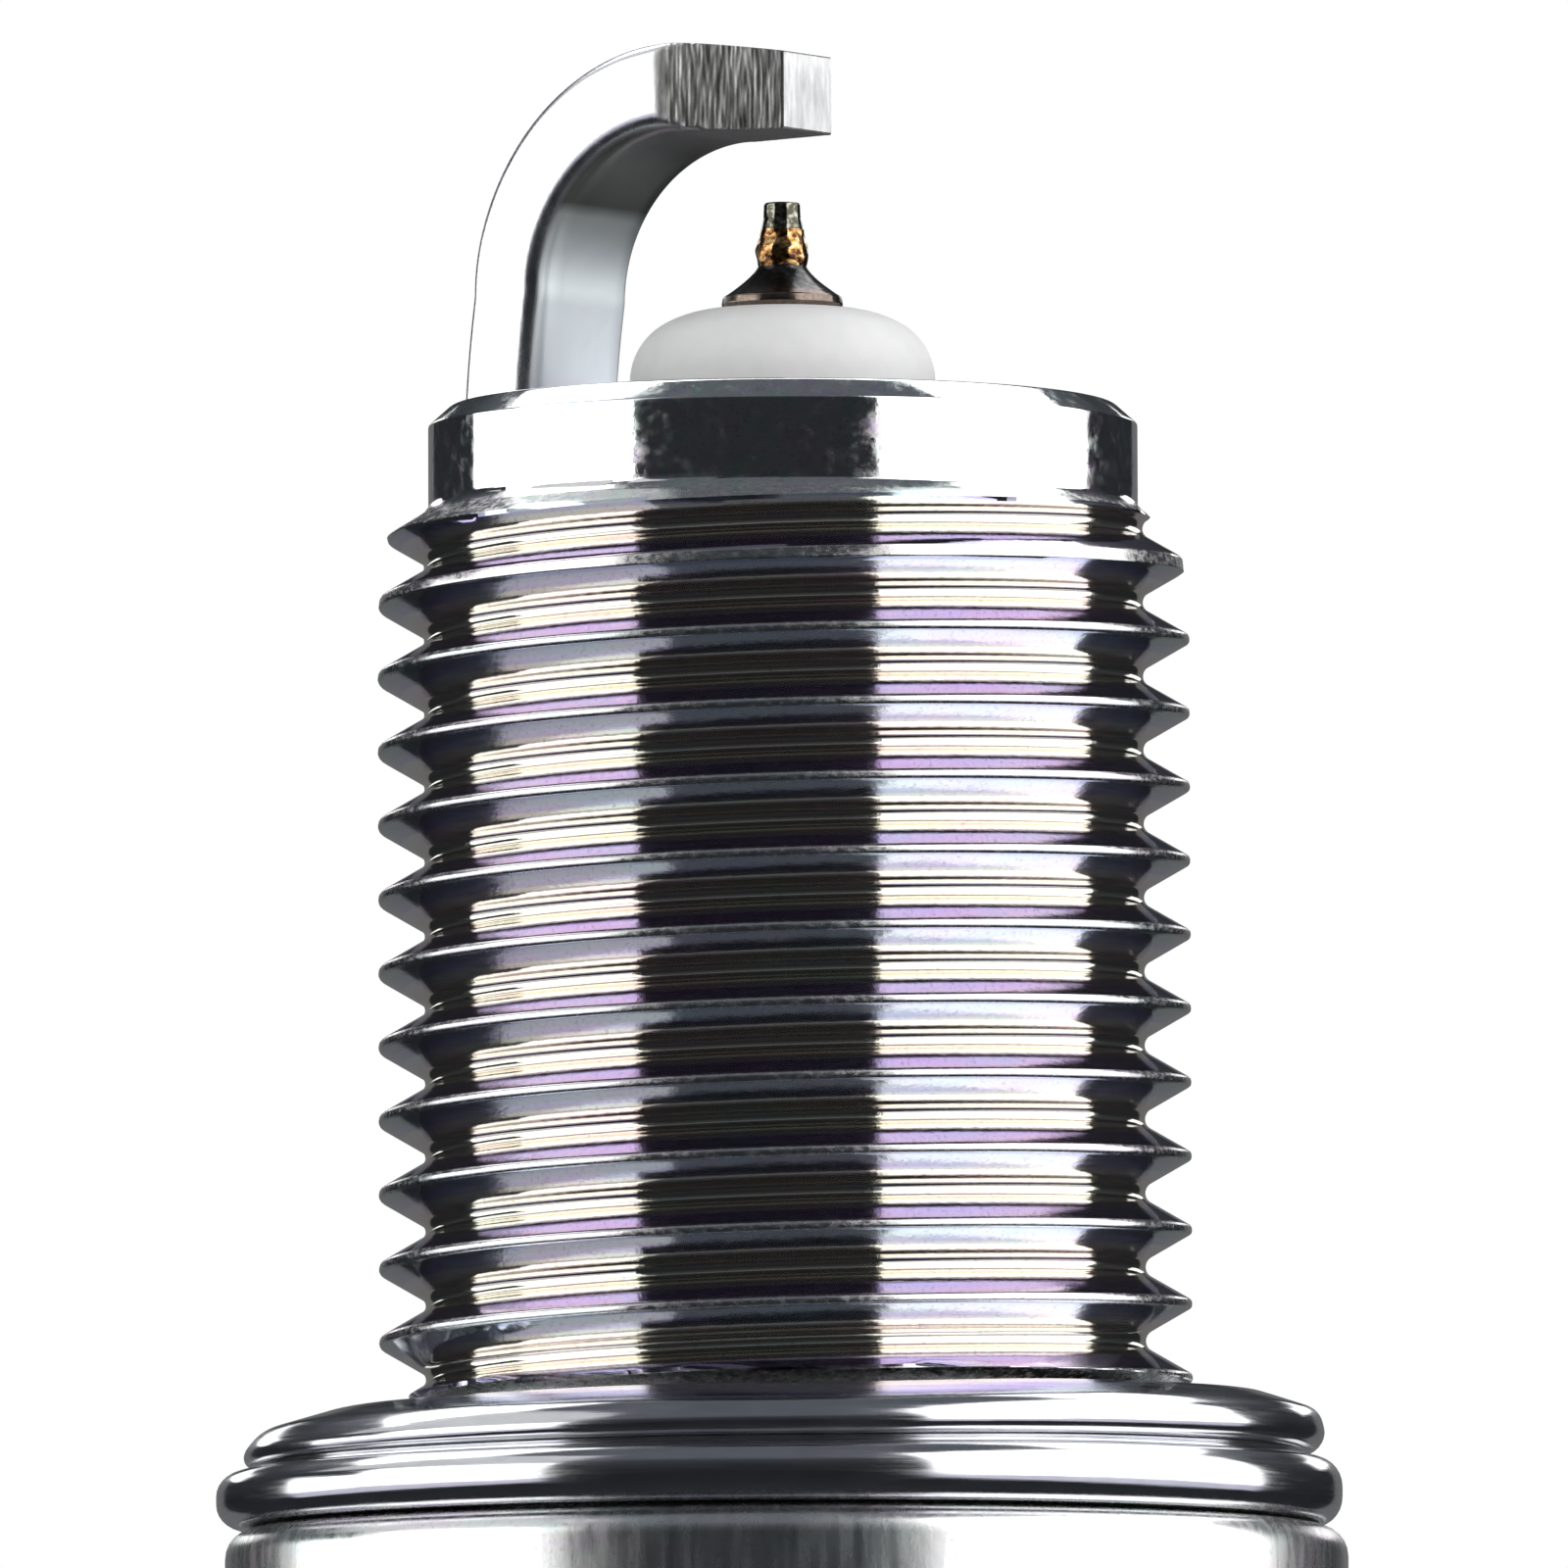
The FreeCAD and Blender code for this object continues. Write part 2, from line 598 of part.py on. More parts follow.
def make_nut():
    """Removable terminal nut, with the waist that a plug cap snaps on to."""
    return turned("terminal_nut", [
        ("nut_bore_r + nut_bevel", "nut_high"),
        ("nut_r - nut_bevel", "nut_high"),
        ("nut_r", "nut_high - nut_bevel"),
        ("nut_r", "nut_base_low"),
        ("nut_waist_r", "nut_waist_high"),
        ("nut_waist_r", "nut_waist_low"),
        ("nut_r", "nut_head_high"),
        ("nut_r", "nut_head_low"),
        ("nut_end_r", "nut_low"),
        ("nut_bore_r + nut_bevel", "nut_low"),
        ("nut_bore_r", "nut_low + nut_bevel"),
        ("nut_bore_r", "nut_high - nut_bevel"),
    ])


def long_edges(shape, half_width, low, high):
    """Names of the edges that run along both sides of the strap."""
    names = []
    for i, edge in enumerate(shape.Edges, start=1):
        ends = [v.Point for v in edge.Vertexes]
        along_side = all(abs(abs(p.y) - half_width) < 1e-4 for p in ends)
        same_side = ends[0].y * ends[-1].y > 0
        across_end = abs(ends[0].x - ends[-1].x) < 1e-6 and abs(ends[0].x - low) < 1e-4
        across_foot = all(abs(p.z - high) < 1e-4 for p in ends)
        if along_side and same_side and not across_end and not across_foot:
            names.append(f"Edge{i}")
    return names


def make_ground_electrode():
    """Ground electrode: a rectangular nickel strap, bent over the tip and trimmed to a narrow end."""
    strap = new_body("ground_electrode")
    side = new_sketch(strap, "strap_side", "XZ_Plane")
    bend_x = "(strap_out - strap_lean - strap_bend_r)"
    top = "(strap_bend_start + strap_bend_r)"
    outline(side, [
        ("strap_out", "reach"),
        ("strap_out", "reach + strap_foot"),
        ("strap_out - strap_lean", "strap_bend_start", ("left", "strap_bend_r")),
        (bend_x, top),
        ("-strap_end", top),
        ("-strap_end", f"{top} - strap"),
        (bend_x, f"{top} - strap", ("right", "strap_bend_r - strap")),
        ("strap_out - strap_lean - strap", "strap_bend_start"),
        ("strap_out - strap", "reach + strap_foot"),
        ("strap_out - strap", "reach"),
    ])
    bar = strap.newObject("PartDesign::Pad", "strap_bar")
    bar.Profile = side
    bar.Midplane = True
    bind(bar, "Length", "strap_width")
    doc.recompute()
    edges = strap.newObject("PartDesign::Fillet", "strap_edges")
    edges.Base = (bar, long_edges(bar.Shape, size("strap_width / 2"), size("-strap_end"), size("reach")))
    bind(edges, "Radius", "strap_edge")
    trims = new_sketch(strap, "strap_trims", "XY_Plane", top)
    past = "(strap_end + 1)"
    slope = "(strap_width - strap_end_width) / 2 / (strap_trim + strap_end)"
    end_half = f"(strap_width / 2 - {slope} * (strap_trim + {past}))"
    for sign in ("", "-"):
        corners = [
            ("strap_trim", f"{sign}strap_width / 2"),
            ("strap_trim", f"{sign}strap_width"),
            (f"-{past}", f"{sign}strap_width"),
            (f"-{past}", f"{sign}{end_half}"),
        ]
        outline(trims, corners)
    cut = strap.newObject("PartDesign::Pocket", "strap_trimmed")
    cut.Profile = trims
    bind(cut, "Length", "strap + 0.5")
    bind(strap, "Placement.Rotation.Angle", "strap_angle")
    return strap


def make_bead():
    """Resistance-weld bead squeezed out at both sides of the ground electrode's foot."""
    bead = new_body("ground_electrode_weld")
    plan = new_sketch(bead, "bead_plan", "XY_Plane", "reach")
    half = "strap_width / 2"
    for sign in ("", "-"):
        outline(plan, [
            ("bead_inner", f"{sign}{half}"),
            ("bead_outer", f"{sign}{half}"),
            ("bead_outer - bead_out / 2", f"{sign}({half} + bead_out)"),
            ("bead_inner + bead_out / 2", f"{sign}({half} + bead_out)"),
        ])
    pad = bead.newObject("PartDesign::Pad", "bead_pad")
    pad.Profile = plan
    bind(pad, "Length", "bead_high")
    bind(bead, "Placement.Rotation.Angle", "strap_angle")
    return bead


def check_document():
    """Stop if any object failed or any body is empty or broken."""
    for thing in doc.Objects:
        for flaw in ("Invalid", "Error"):
            if flaw in thing.State:
                raise RuntimeError(f"{thing.Name}: {thing.State}")
    bodies = [thing for thing in doc.Objects if thing.TypeId == "PartDesign::Body"]
    for body in bodies:
        if body.Shape.isNull() or not body.Shape.isValid() or body.Shape.Volume <= 0:
            raise RuntimeError(f"{body.Label}: no valid shape")
    return bodies


fill_sheet()
make_shell()
make_gasket()
make_insulator()
make_washer()
make_packing()
make_core(make_centre_electrode())
make_stud()
make_nut()
make_ground_electrode()
make_bead()
doc.recompute()

os.makedirs("parts", exist_ok=True)
for body in check_document():
    body.Shape.exportStep(f"parts/{body.Label}.step")
    print(f"{body.Label:24s} {body.Shape.Volume:10.3f} mm3  {len(body.Shape.Solids)} solid(s)")
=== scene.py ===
"""Looks of the spark plug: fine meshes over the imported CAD, their materials, and a soft studio.

Frame: +Z along the plug's axis towards the firing end, origin at the gasket's seat. Shapes are
written in millimetres and become metres when a mesh is made.
"""
import json
import math

import bmesh
import bpy
import numpy as np
from mathutils import Matrix, Vector, noise


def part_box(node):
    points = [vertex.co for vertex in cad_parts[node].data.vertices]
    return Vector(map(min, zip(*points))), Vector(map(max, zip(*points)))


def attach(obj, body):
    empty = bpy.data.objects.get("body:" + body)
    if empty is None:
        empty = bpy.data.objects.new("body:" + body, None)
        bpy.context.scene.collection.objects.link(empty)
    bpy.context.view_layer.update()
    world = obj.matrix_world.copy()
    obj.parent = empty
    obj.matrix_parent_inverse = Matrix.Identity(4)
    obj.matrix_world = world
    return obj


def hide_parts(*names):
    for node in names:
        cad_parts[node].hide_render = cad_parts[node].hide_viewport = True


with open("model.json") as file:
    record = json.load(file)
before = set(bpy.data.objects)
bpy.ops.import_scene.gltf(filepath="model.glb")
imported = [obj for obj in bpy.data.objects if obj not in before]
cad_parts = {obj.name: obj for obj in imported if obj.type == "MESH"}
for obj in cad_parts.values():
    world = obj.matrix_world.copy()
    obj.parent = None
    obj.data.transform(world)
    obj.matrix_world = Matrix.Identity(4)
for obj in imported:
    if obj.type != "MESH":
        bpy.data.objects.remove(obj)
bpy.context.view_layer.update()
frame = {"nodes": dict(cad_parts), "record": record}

NODES = frame["nodes"]
MM = 0.001


def reach(node):
    """Lowest and highest corner of a CAD node, in millimetres."""
    low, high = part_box(node)
    return low / MM, high / MM


MOUNTS = {m["name"]: m for m in frame["record"]["mounts"]}

# ---------------------------------------------------------------- driving sizes, mm
CREST_R = MOUNTS["head_thread"]["dims"]["r_mm"]
PILOT_R = MOUNTS["pilot"]["dims"]["r_mm"]
HEX_R = MOUNTS["hexagon"]["dims"]["r_mm"]
NUT_R = MOUNTS["terminal_head"]["dims"]["r_mm"]
BARREL_R = MOUNTS["insulator_barrel"]["dims"]["r_mm"]
FACE_Z = reach("shell")[1].z
SHELL_REAR = reach("shell")[0].z
PITCH = 1.25
THREAD_START = 1.275
FULL_TURNS = 13.06
LAST_TURN = 13.1
END_PITCH = 0.96
CREST_ROUND = 0.10
ROOT_ROUND = 0.19
FLANK = math.radians(30)
NECK_R = 6.1
PILOT_EDGE = 18.62
COLLAR_R = 9.475
COLLAR_LOW = -4.5
WAIST_R = 7.35
WAIST_BULGE_R = 2.4
HEX_HIGH = -7.4
HEX_LOW = -13.9
HEX_CHAMFER = 0.75
HEX_CHAMFER_R = 7.9
BORE_LIP_R = 5.42
NOSE_BORE_R = 4.25
LEDGE_R = 3.75
TRUNK_BORE_R = 4.75
HEX_BORE_R = 6.05
CORE_BORE_R = 1.95
RIB_HIGH = -27.4
RIB_PITCH = 2.35
RIB_GROOVE = 1.5
HEAD_R = 4.25
HEAD_LOW = -41.1
NUT_HIGH = -41.8
NUT_LOW = -50.5
NUT_BORE_R = 2.02
NUT_WAIST_R = 2.45
WELD_LOW = 21.36
WELD_HIGH = 22.0
TIP_HIGH = 22.46


# ---------------------------------------------------------------- outlines
def fillet(corners, steps=5, closed=True):
    """Outline through corners (across, up[, radius]); a corner with a radius becomes an arc."""
    points = []
    count = len(corners)
    for i, corner in enumerate(corners):
        here = Vector(corner[:2])
        radius = corner[2] if len(corner) > 2 else 0
        if not radius or (not closed and i in (0, count - 1)):
            points.append(here)
            continue
        back = (Vector(corners[i - 1][:2]) - here).normalized()
        on = (Vector(corners[(i + 1) % count][:2]) - here).normalized()
        half = back.angle(on) / 2
        centre = here + (back + on).normalized() * radius / math.sin(half)
        start = here + back * radius / math.tan(half) - centre
        sweep = start.angle_signed(here + on * radius / math.tan(half) - centre)
        for k in range(steps + 1):
            turn = Matrix.Rotation(-sweep * k / steps, 2)
            points.append(centre + turn @ start)
    return [(p.x, p.y) for p in points]


def arc(start, end, radius, steps):
    """Points after start, up to end, on an arc bulging to the right, or left for a negative radius."""
    a = Vector(start)
    b = Vector(end)
    way = b - a
    side = Vector((way.y, -way.x)).normalized()
    rise = math.sqrt(max(radius**2 - way.length_squared / 4, 0))
    centre = (a + b) / 2 - side * math.copysign(rise, radius)
    first = a - centre
    sweep = first.angle_signed(b - centre)
    return [tuple(centre + Matrix.Rotation(-sweep * k / steps, 2) @ first) for k in range(1, steps + 1)]


def spread(points, step, closed=True):
    """The same outline with points added so that none are farther apart than step."""
    out = []
    count = len(points)
    for i in range(count if closed else count - 1):
        a = Vector(points[i])
        b = Vector(points[(i + 1) % count])
        parts = max(1, math.ceil((b - a).length / step))
        out += [tuple(a.lerp(b, k / parts)) for k in range(parts)]
    if not closed:
        out.append(points[-1])
    return out


# ---------------------------------------------------------------- meshes
def make_piece(name, points, faces, material, body, sharp=35, replaced=()):
    """A closed smooth-shaded mesh from points in millimetres, riding a CAD body."""
    mesh = bpy.data.meshes.new(name)
    mesh.from_pydata([(x * MM, y * MM, z * MM) for x, y, z in points], [], faces)
    solid = bmesh.new()
    solid.from_mesh(mesh)
    bmesh.ops.recalc_face_normals(solid, faces=solid.faces)
    solid.to_mesh(mesh)
    solid.free()
    mesh.materials.append(material)
    mesh.shade_smooth()
    mesh.set_sharp_from_angle(angle=math.radians(sharp))
    piece = bpy.data.objects.new(name, mesh)
    bpy.context.scene.collection.objects.link(piece)
    weighted = piece.modifiers.new("weighted", "WEIGHTED_NORMAL")
    weighted.keep_sharp = True
    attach(piece, body)
    if replaced:
        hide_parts(*replaced)
    return piece


def store(piece, **layers):
    """Writes one value per point under each name, for the materials to read."""
    for name, values in layers.items():
        layer = piece.data.attributes.new(name, "FLOAT", "POINT")
        layer.data.foreach_set("value", values)


def lathe(outline, columns, shape=None):
    """Points and faces of an outline (r, z) turned about the axis.

    The outline runs so that the material is on its left; an outline whose ends have r 0 is a
    solid, any other is a closed ring. shape(x, y, z, r) may move a point.
    """
    angles = columns if isinstance(columns, list) else [2 * math.pi * i / columns for i in range(columns)]
    count = len(angles)
    points = []
    rows = []
    for r, z in outline:
        if r < 1e-6:
            rows.append([len(points)] * count)
            points.append((0, 0, z))
            continue
        rows.append(list(range(len(points), len(points) + count)))
        for turn in angles:
            place = (r * math.cos(turn), r * math.sin(turn), z)
            points.append(shape(*place, r) if shape else place)
    solid = outline[0][0] < 1e-6
    faces = []
    for j in range(len(rows) - 1 if solid else len(rows)):
        low = rows[j]
        high = rows[(j + 1) % len(rows)]
        for i in range(count):
            k = (i + 1) % count
            corners = [low[i], low[k], high[k], high[i]]
            faces.append(list(dict.fromkeys(corners)))
    return points, faces


def grain(x, y, z, scale, seed=0.0):
    """Smooth noise from -1 to 1 whose features are about scale millimetres."""
    return noise.noise((x / scale + seed, y / scale - seed, z / scale))


# ---------------------------------------------------------------- materials
class Paint:
    """A principled material and short ways to wire its procedural nodes."""

    def __init__(self, slot, **values):
        self.material = bpy.data.materials.new(slot)
        self.material["slot"] = slot
        self.material.use_nodes = True
        self.tree = self.material.node_tree
        self.shader = self.tree.nodes["Principled BSDF"]
        for socket, value in values.items():
            self.shader.inputs[socket.replace("_", " ").title().replace("Ior", "IOR")].default_value = value
        self.place = self.tree.nodes.new("ShaderNodeTexCoord").outputs["Object"]

    def node(self, kind, **settings):
        made = self.tree.nodes.new(kind)
        for key, value in settings.items():
            setattr(made, key, value)
        return made

    def join(self, source, socket):
        self.tree.links.new(source, socket)

    def stretched(self, across, along):
        """Object coordinates with features of that many millimetres across and along the axis."""
        made = self.node("ShaderNodeMapping")
        made.inputs["Scale"].default_value = (1 / (across * MM), 1 / (across * MM), 1 / (along * MM))
        self.join(self.place, made.inputs["Vector"])
        return made.outputs["Vector"]

    def noise(self, across, along=None, detail=3.0, rough=0.55):
        made = self.node("ShaderNodeTexNoise")
        made.inputs["Scale"].default_value = 1.0
        made.inputs["Detail"].default_value = detail
        made.inputs["Roughness"].default_value = rough
        self.join(self.stretched(across, along or across), made.inputs["Vector"])
        return made.outputs["Fac"]

    def spots(self, across):
        made = self.node("ShaderNodeTexVoronoi")
        made.inputs["Scale"].default_value = 1.0
        self.join(self.stretched(across, across), made.inputs["Vector"])
        return made.outputs["Distance"]

    def height(self, low, high):
        """0 below one height on the axis, 1 above another, in millimetres."""
        axis = self.node("ShaderNodeSeparateXYZ")
        self.join(self.place, axis.inputs[0])
        made = self.node("ShaderNodeMapRange")
        made.inputs["From Min"].default_value = low * MM
        made.inputs["From Max"].default_value = high * MM
        self.join(axis.outputs["Z"], made.inputs["Value"])
        return made.outputs["Result"]

    def attribute(self, name):
        return self.node("ShaderNodeAttribute", attribute_name=name).outputs["Fac"]

    def curve(self, value, *stops):
        """Maps a value through straight runs between stops (in, out)."""
        made = self.node("ShaderNodeValToRGB")
        ramp = made.color_ramp
        for k, (at, out) in enumerate(stops):
            stop = ramp.elements[k] if k < 2 else ramp.elements.new(at)
            stop.position = at
            stop.color = (out, out, out, 1) if isinstance(out, (int, float)) else (*out, 1)
        self.join(value, made.inputs["Fac"])
        return made.outputs["Color"]

    def mix(self, factor, a, b, blend="MIX"):
        """Colour between a and b; each may be a colour, a grey value or an output."""
        made = self.node("ShaderNodeMix", data_type="RGBA", blend_type=blend)
        if isinstance(factor, bpy.types.NodeSocket):
            self.join(factor, made.inputs[0])
        else:
            made.inputs[0].default_value = factor
        for value, socket in ((a, made.inputs[6]), (b, made.inputs[7])):
            if isinstance(value, bpy.types.NodeSocket):
                self.join(value, socket)
            else:
                socket.default_value = (*value, 1) if isinstance(value, tuple) else (value, value, value, 1)
        return made.outputs[2]

    def away(self, near, far):
        """0 nearer the object's origin than one distance, 1 beyond another, in metres."""
        length = self.node("ShaderNodeVectorMath", operation="LENGTH")
        self.join(self.place, length.inputs[0])
        made = self.node("ShaderNodeMapRange", interpolation_type="SMOOTHSTEP")
        made.inputs["From Min"].default_value = near
        made.inputs["From Max"].default_value = far
        self.join(length.outputs["Value"], made.inputs["Value"])
        return made.outputs["Result"]

    def bump(self, height, depth):
        """Adds relief of that depth in millimetres; calls stack up."""
        made = self.node("ShaderNodeBump")
        made.inputs["Strength"].default_value = 1.0
        made.inputs["Distance"].default_value = depth * MM
        self.join(height, made.inputs["Height"])
        socket = self.shader.inputs["Normal"]
        if socket.is_linked:
            self.join(socket.links[0].from_socket, made.inputs["Normal"])
        self.join(made.outputs["Normal"], socket)

    def colour(self, source):
        self.join(source, self.shader.inputs["Base Color"])

    def rough(self, source):
        self.join(source, self.shader.inputs["Roughness"])


def nickel_plate():
    """Bright plate with painted reflection colours on the thread, blotchy on the pilot, brushed on the
    collar.
    """
    p = Paint("nickel_plate", metallic=1.0)
    depth = p.attribute("depth")
    # Colours by thread phase are painted reflections: cream at the root, teal and violet on the flanks
    # stand in for what the grooves reflect; the darker teal just off the crest on one flank is painted
    # shade.
    crest = (0.86, 0.87, 0.86)
    root = (0.79, 0.77, 0.64)
    rear_flank = p.curve(depth, (0.0, crest), (0.05, (0.52, 0.59, 0.60)), (0.20, (0.52, 0.59, 0.61)),
                         (0.28, (0.60, 0.60, 0.77)), (0.42, (0.61, 0.60, 0.77)), (0.50, (0.78, 0.78, 0.78)),
                         (0.66, (0.80, 0.76, 0.78)), (0.82, (0.78, 0.70, 0.66)), (1.0, root))
    front_flank = p.curve(depth, (0.0, crest), (0.05, (0.62, 0.55, 0.62)), (0.15, (0.66, 0.58, 0.70)),
                          (0.30, (0.60, 0.57, 0.79)), (0.44, (0.62, 0.59, 0.80)),
                          (0.52, (0.80, 0.74, 0.80)), (0.62, (0.82, 0.78, 0.80)),
                          (0.80, (0.80, 0.76, 0.68)), (1.0, root))
    side = p.curve(p.attribute("flank"), (0.45, 0.0), (0.55, 1.0))
    groove_reflection_paint = p.mix(side, rear_flank, front_flank)
    drift = p.curve(p.noise(2.2, 0.5, detail=2.0), (0.35, (0.94, 1.0, 1.0)), (0.5, (1.0, 0.99, 0.98)),
                    (0.65, (1.0, 0.94, 1.0)))
    tone = p.mix(1.0, groove_reflection_paint, drift, "MULTIPLY")
    blotch = p.curve(p.noise(0.45, detail=5.0, rough=0.7), (0.38, (0.80, 1.0, 0.88)),
                     (0.47, (1.0, 1.0, 1.0)), (0.55, (1.0, 1.0, 1.0)), (0.64, (0.92, 0.80, 1.0)))
    pilot = p.height(17.15, 17.25)
    tone = p.mix(p.mix(pilot, 0.0, 0.8), tone, p.mix(1.0, tone, blotch, "MULTIPLY"))
    specks = p.curve(p.noise(0.09, detail=4.0), (0.30, 0.80), (0.42, 1.0))
    p.colour(p.mix(1.0, tone, specks, "MULTIPLY"))
    tip = p.curve(depth, (0.0, 1.0), (0.03, 1.0), (0.08, 0.0))
    smooth = p.curve(p.noise(0.5, 0.05, detail=4.0), (0.3, 0.05), (0.7, 0.11))
    worn = p.curve(p.noise(0.16, 0.08, detail=3.0), (0.35, 0.14), (0.7, 0.34))
    mottled = p.curve(p.noise(0.30, detail=5.0, rough=0.65), (0.45, 0.06), (0.72, 0.24))
    brushed = p.curve(p.noise(0.25, 2.0, detail=3.0), (0.3, 0.20), (0.7, 0.32))
    rough = p.mix(pilot, p.mix(tip, smooth, worn), mottled)
    p.rough(p.mix(p.height(0.05, 0.15), brushed, rough))
    p.bump(p.noise(0.12, detail=3.0), 0.0012)
    p.bump(p.noise(0.9, detail=1.0), 0.0035)
    return p.material


def gasket_steel():
    """Rolled steel strip, plated, with faint rolling lines round the folds."""
    p = Paint("gasket_steel", metallic=1.0)
    p.colour(p.curve(p.noise(1.2, 0.3), (0.3, (0.66, 0.67, 0.70)), (0.7, (0.80, 0.80, 0.81))))
    p.rough(p.curve(p.noise(1.5, 0.04, detail=4.0), (0.3, 0.08), (0.7, 0.19)))
    p.bump(p.noise(3.0, 0.05), 0.0015)
    return p.material


def alumina():
    """White ceramic from the kiln: matt, faintly grainy and darker at the nose, glazed behind the shell."""
    p = Paint("alumina", specular_ior_level=0.5)
    grainy = p.curve(p.noise(0.35, detail=5.0), (0.3, (0.74, 0.74, 0.74)), (0.7, (0.78, 0.78, 0.775)))
    darker_nose = p.mix(1.0, grainy, (0.76, 0.76, 0.755), "MULTIPLY")
    # From 15 mm on, towards the firing end, the nose is made darker than the barrel.
    p.colour(p.mix(p.height(14.0, 15.0), grainy, darker_nose))
    p.rough(p.mix(p.height(-6.0, -5.0), 0.12, 0.55))
    p.bump(p.noise(0.06, detail=3.0), 0.0015)
    return p.material


def electrode_alloy():
    """Nickel alloy end, browned by heat, with a bluish black cone."""
    p = Paint("electrode_alloy", metallic=1.0)
    tint = p.curve(p.height(20.5, 22.0), (0.0, (0.10, 0.08, 0.07)), (0.22, (0.22, 0.17, 0.14)),
                   (0.28, (0.10, 0.08, 0.08)), (0.36, (0.03, 0.04, 0.045)), (0.60, (0.05, 0.05, 0.05)))
    stain = p.curve(p.noise(0.10), (0.40, (0.02, 0.03, 0.03)), (0.62, (0.50, 0.40, 0.34)))
    p.colour(p.mix(0.15, tint, stain))
    p.rough(p.curve(p.noise(0.12), (0.3, 0.12), (0.7, 0.26)))
    p.bump(p.noise(0.07), 0.0015)
    return p.material


def weld_zone():
    """Laser weld between alloy and tip: glossy, straw and orange."""
    p = Paint("weld_zone", metallic=1.0)
    p.colour(p.curve(p.noise(0.16, 0.10, detail=2.0), (0.40, (0.06, 0.03, 0.02)),
                     (0.52, (0.46, 0.23, 0.07)), (0.66, (0.90, 0.62, 0.32))))
    p.rough(p.curve(p.noise(0.10), (0.3, 0.08), (0.7, 0.16)))
    p.bump(p.noise(0.14), 0.0015)
    return p.material


def noble_tip():
    """Cut wire of noble metal, slightly brownish grey."""
    p = Paint("noble_tip", metallic=1.0)
    p.colour(p.curve(p.noise(0.12, detail=2.0), (0.45, (0.08, 0.075, 0.055)), (0.65, (0.42, 0.42, 0.34))))
    p.rough(p.curve(p.noise(0.08, 0.4), (0.3, 0.08), (0.7, 0.16)))
    p.bump(p.noise(0.08, 0.3), 0.001)
    return p.material


def strap_nickel():
    """Drawn nickel alloy: lengthwise drawing lines, shear marks where an attribute says so, and painted
    shade and reflections.
    """
    p = Paint("strap_nickel", metallic=1.0)
    tone = p.curve(p.noise(0.7), (0.3, (0.70, 0.71, 0.74)), (0.7, (0.80, 0.80, 0.81)))
    # Inner face by height: painted shade, darkest inside the bend, and painted reflection tints, grey-blue
    # lower down and lilac at the foot.
    inner_painted_reflections = p.curve(p.height(19.0, 24.0), (0.0, (0.72, 0.66, 0.78)), (0.16, (0.62, 0.66, 0.70)),
                   (0.60, (0.50, 0.54, 0.54)), (0.68, (0.46, 0.49, 0.49)), (0.72, (0.12, 0.13, 0.12)),
                   (0.90, (0.20, 0.20, 0.20)), (0.96, (0.40, 0.36, 0.38)))
    shear_marks_and_shade = p.curve(p.noise(0.12, 0.6, detail=4.0), (0.34, (0.18, 0.19, 0.18)), (0.5, (0.44, 0.44, 0.42)),
                      (0.66, (0.72, 0.72, 0.70)))
    # Painted shade: below 24 mm the shear marks are painted darker than above 25.1 mm.
    shear_marks_and_shade = p.mix(p.height(24.0, 25.1), p.mix(1.0, shear_marks_and_shade, (0.72, 0.72, 0.72), "MULTIPLY"), shear_marks_and_shade)
    faces = p.mix(p.attribute("inner"), tone, inner_painted_reflections)
    p.colour(p.mix(p.attribute("shear"), faces, shear_marks_and_shade))
    satin = p.curve(p.noise(0.25, 0.9, detail=4.0), (0.3, 0.18), (0.7, 0.30))
    rough = p.mix(p.attribute("inner"), satin, 0.42)
    p.rough(p.mix(p.attribute("shear"), rough, 0.38))
    p.bump(p.noise(0.05, 0.5), 0.0012)
    p.bump(p.noise(0.4), 0.004)
    return p.material


def strap_weld():
    """Resistance-weld flash: dark, oxidised, lumpy."""
    p = Paint("strap_weld", metallic=1.0)
    p.colour(p.curve(p.noise(0.15), (0.35, (0.10, 0.10, 0.12)), (0.6, (0.50, 0.50, 0.52))))
    p.rough(p.curve(p.noise(0.1), (0.3, 0.20), (0.7, 0.45)))
    p.bump(p.noise(0.08), 0.008)
    return p.material


def nut_plate():
    """Bright plated turned nut with faint tool rings."""
    p = Paint("nut_plate", metallic=1.0)
    p.colour(p.curve(p.noise(0.8), (0.3, (0.72, 0.72, 0.72)), (0.7, (0.80, 0.80, 0.79))))
    p.rough(p.curve(p.noise(1.5, 0.03, detail=4.0), (0.3, 0.10), (0.7, 0.22)))
    p.bump(p.noise(2.0, 0.04), 0.0015)
    return p.material


def plain_metal(slot, dark, light, rough_low, rough_high, size=0.2):
    """A metal that is mostly out of sight."""
    p = Paint(slot, metallic=1.0)
    p.colour(p.curve(p.noise(size), (0.3, dark), (0.7, light)))
    p.rough(p.curve(p.noise(size / 2, size), (0.3, rough_low), (0.7, rough_high)))
    p.bump(p.noise(size / 3), 0.002)
    return p.material


def packed_powder(slot, dark, light, rough_low, rough_high, size=0.1):
    """Talc, glass or filled glass with visible grains."""
    p = Paint(slot)
    p.colour(p.curve(p.spots(size), (0.1, dark), (0.6, light)))
    p.rough(p.curve(p.noise(size), (0.3, rough_low), (0.7, rough_high)))
    p.bump(p.noise(size / 2), 0.01)
    return p.material


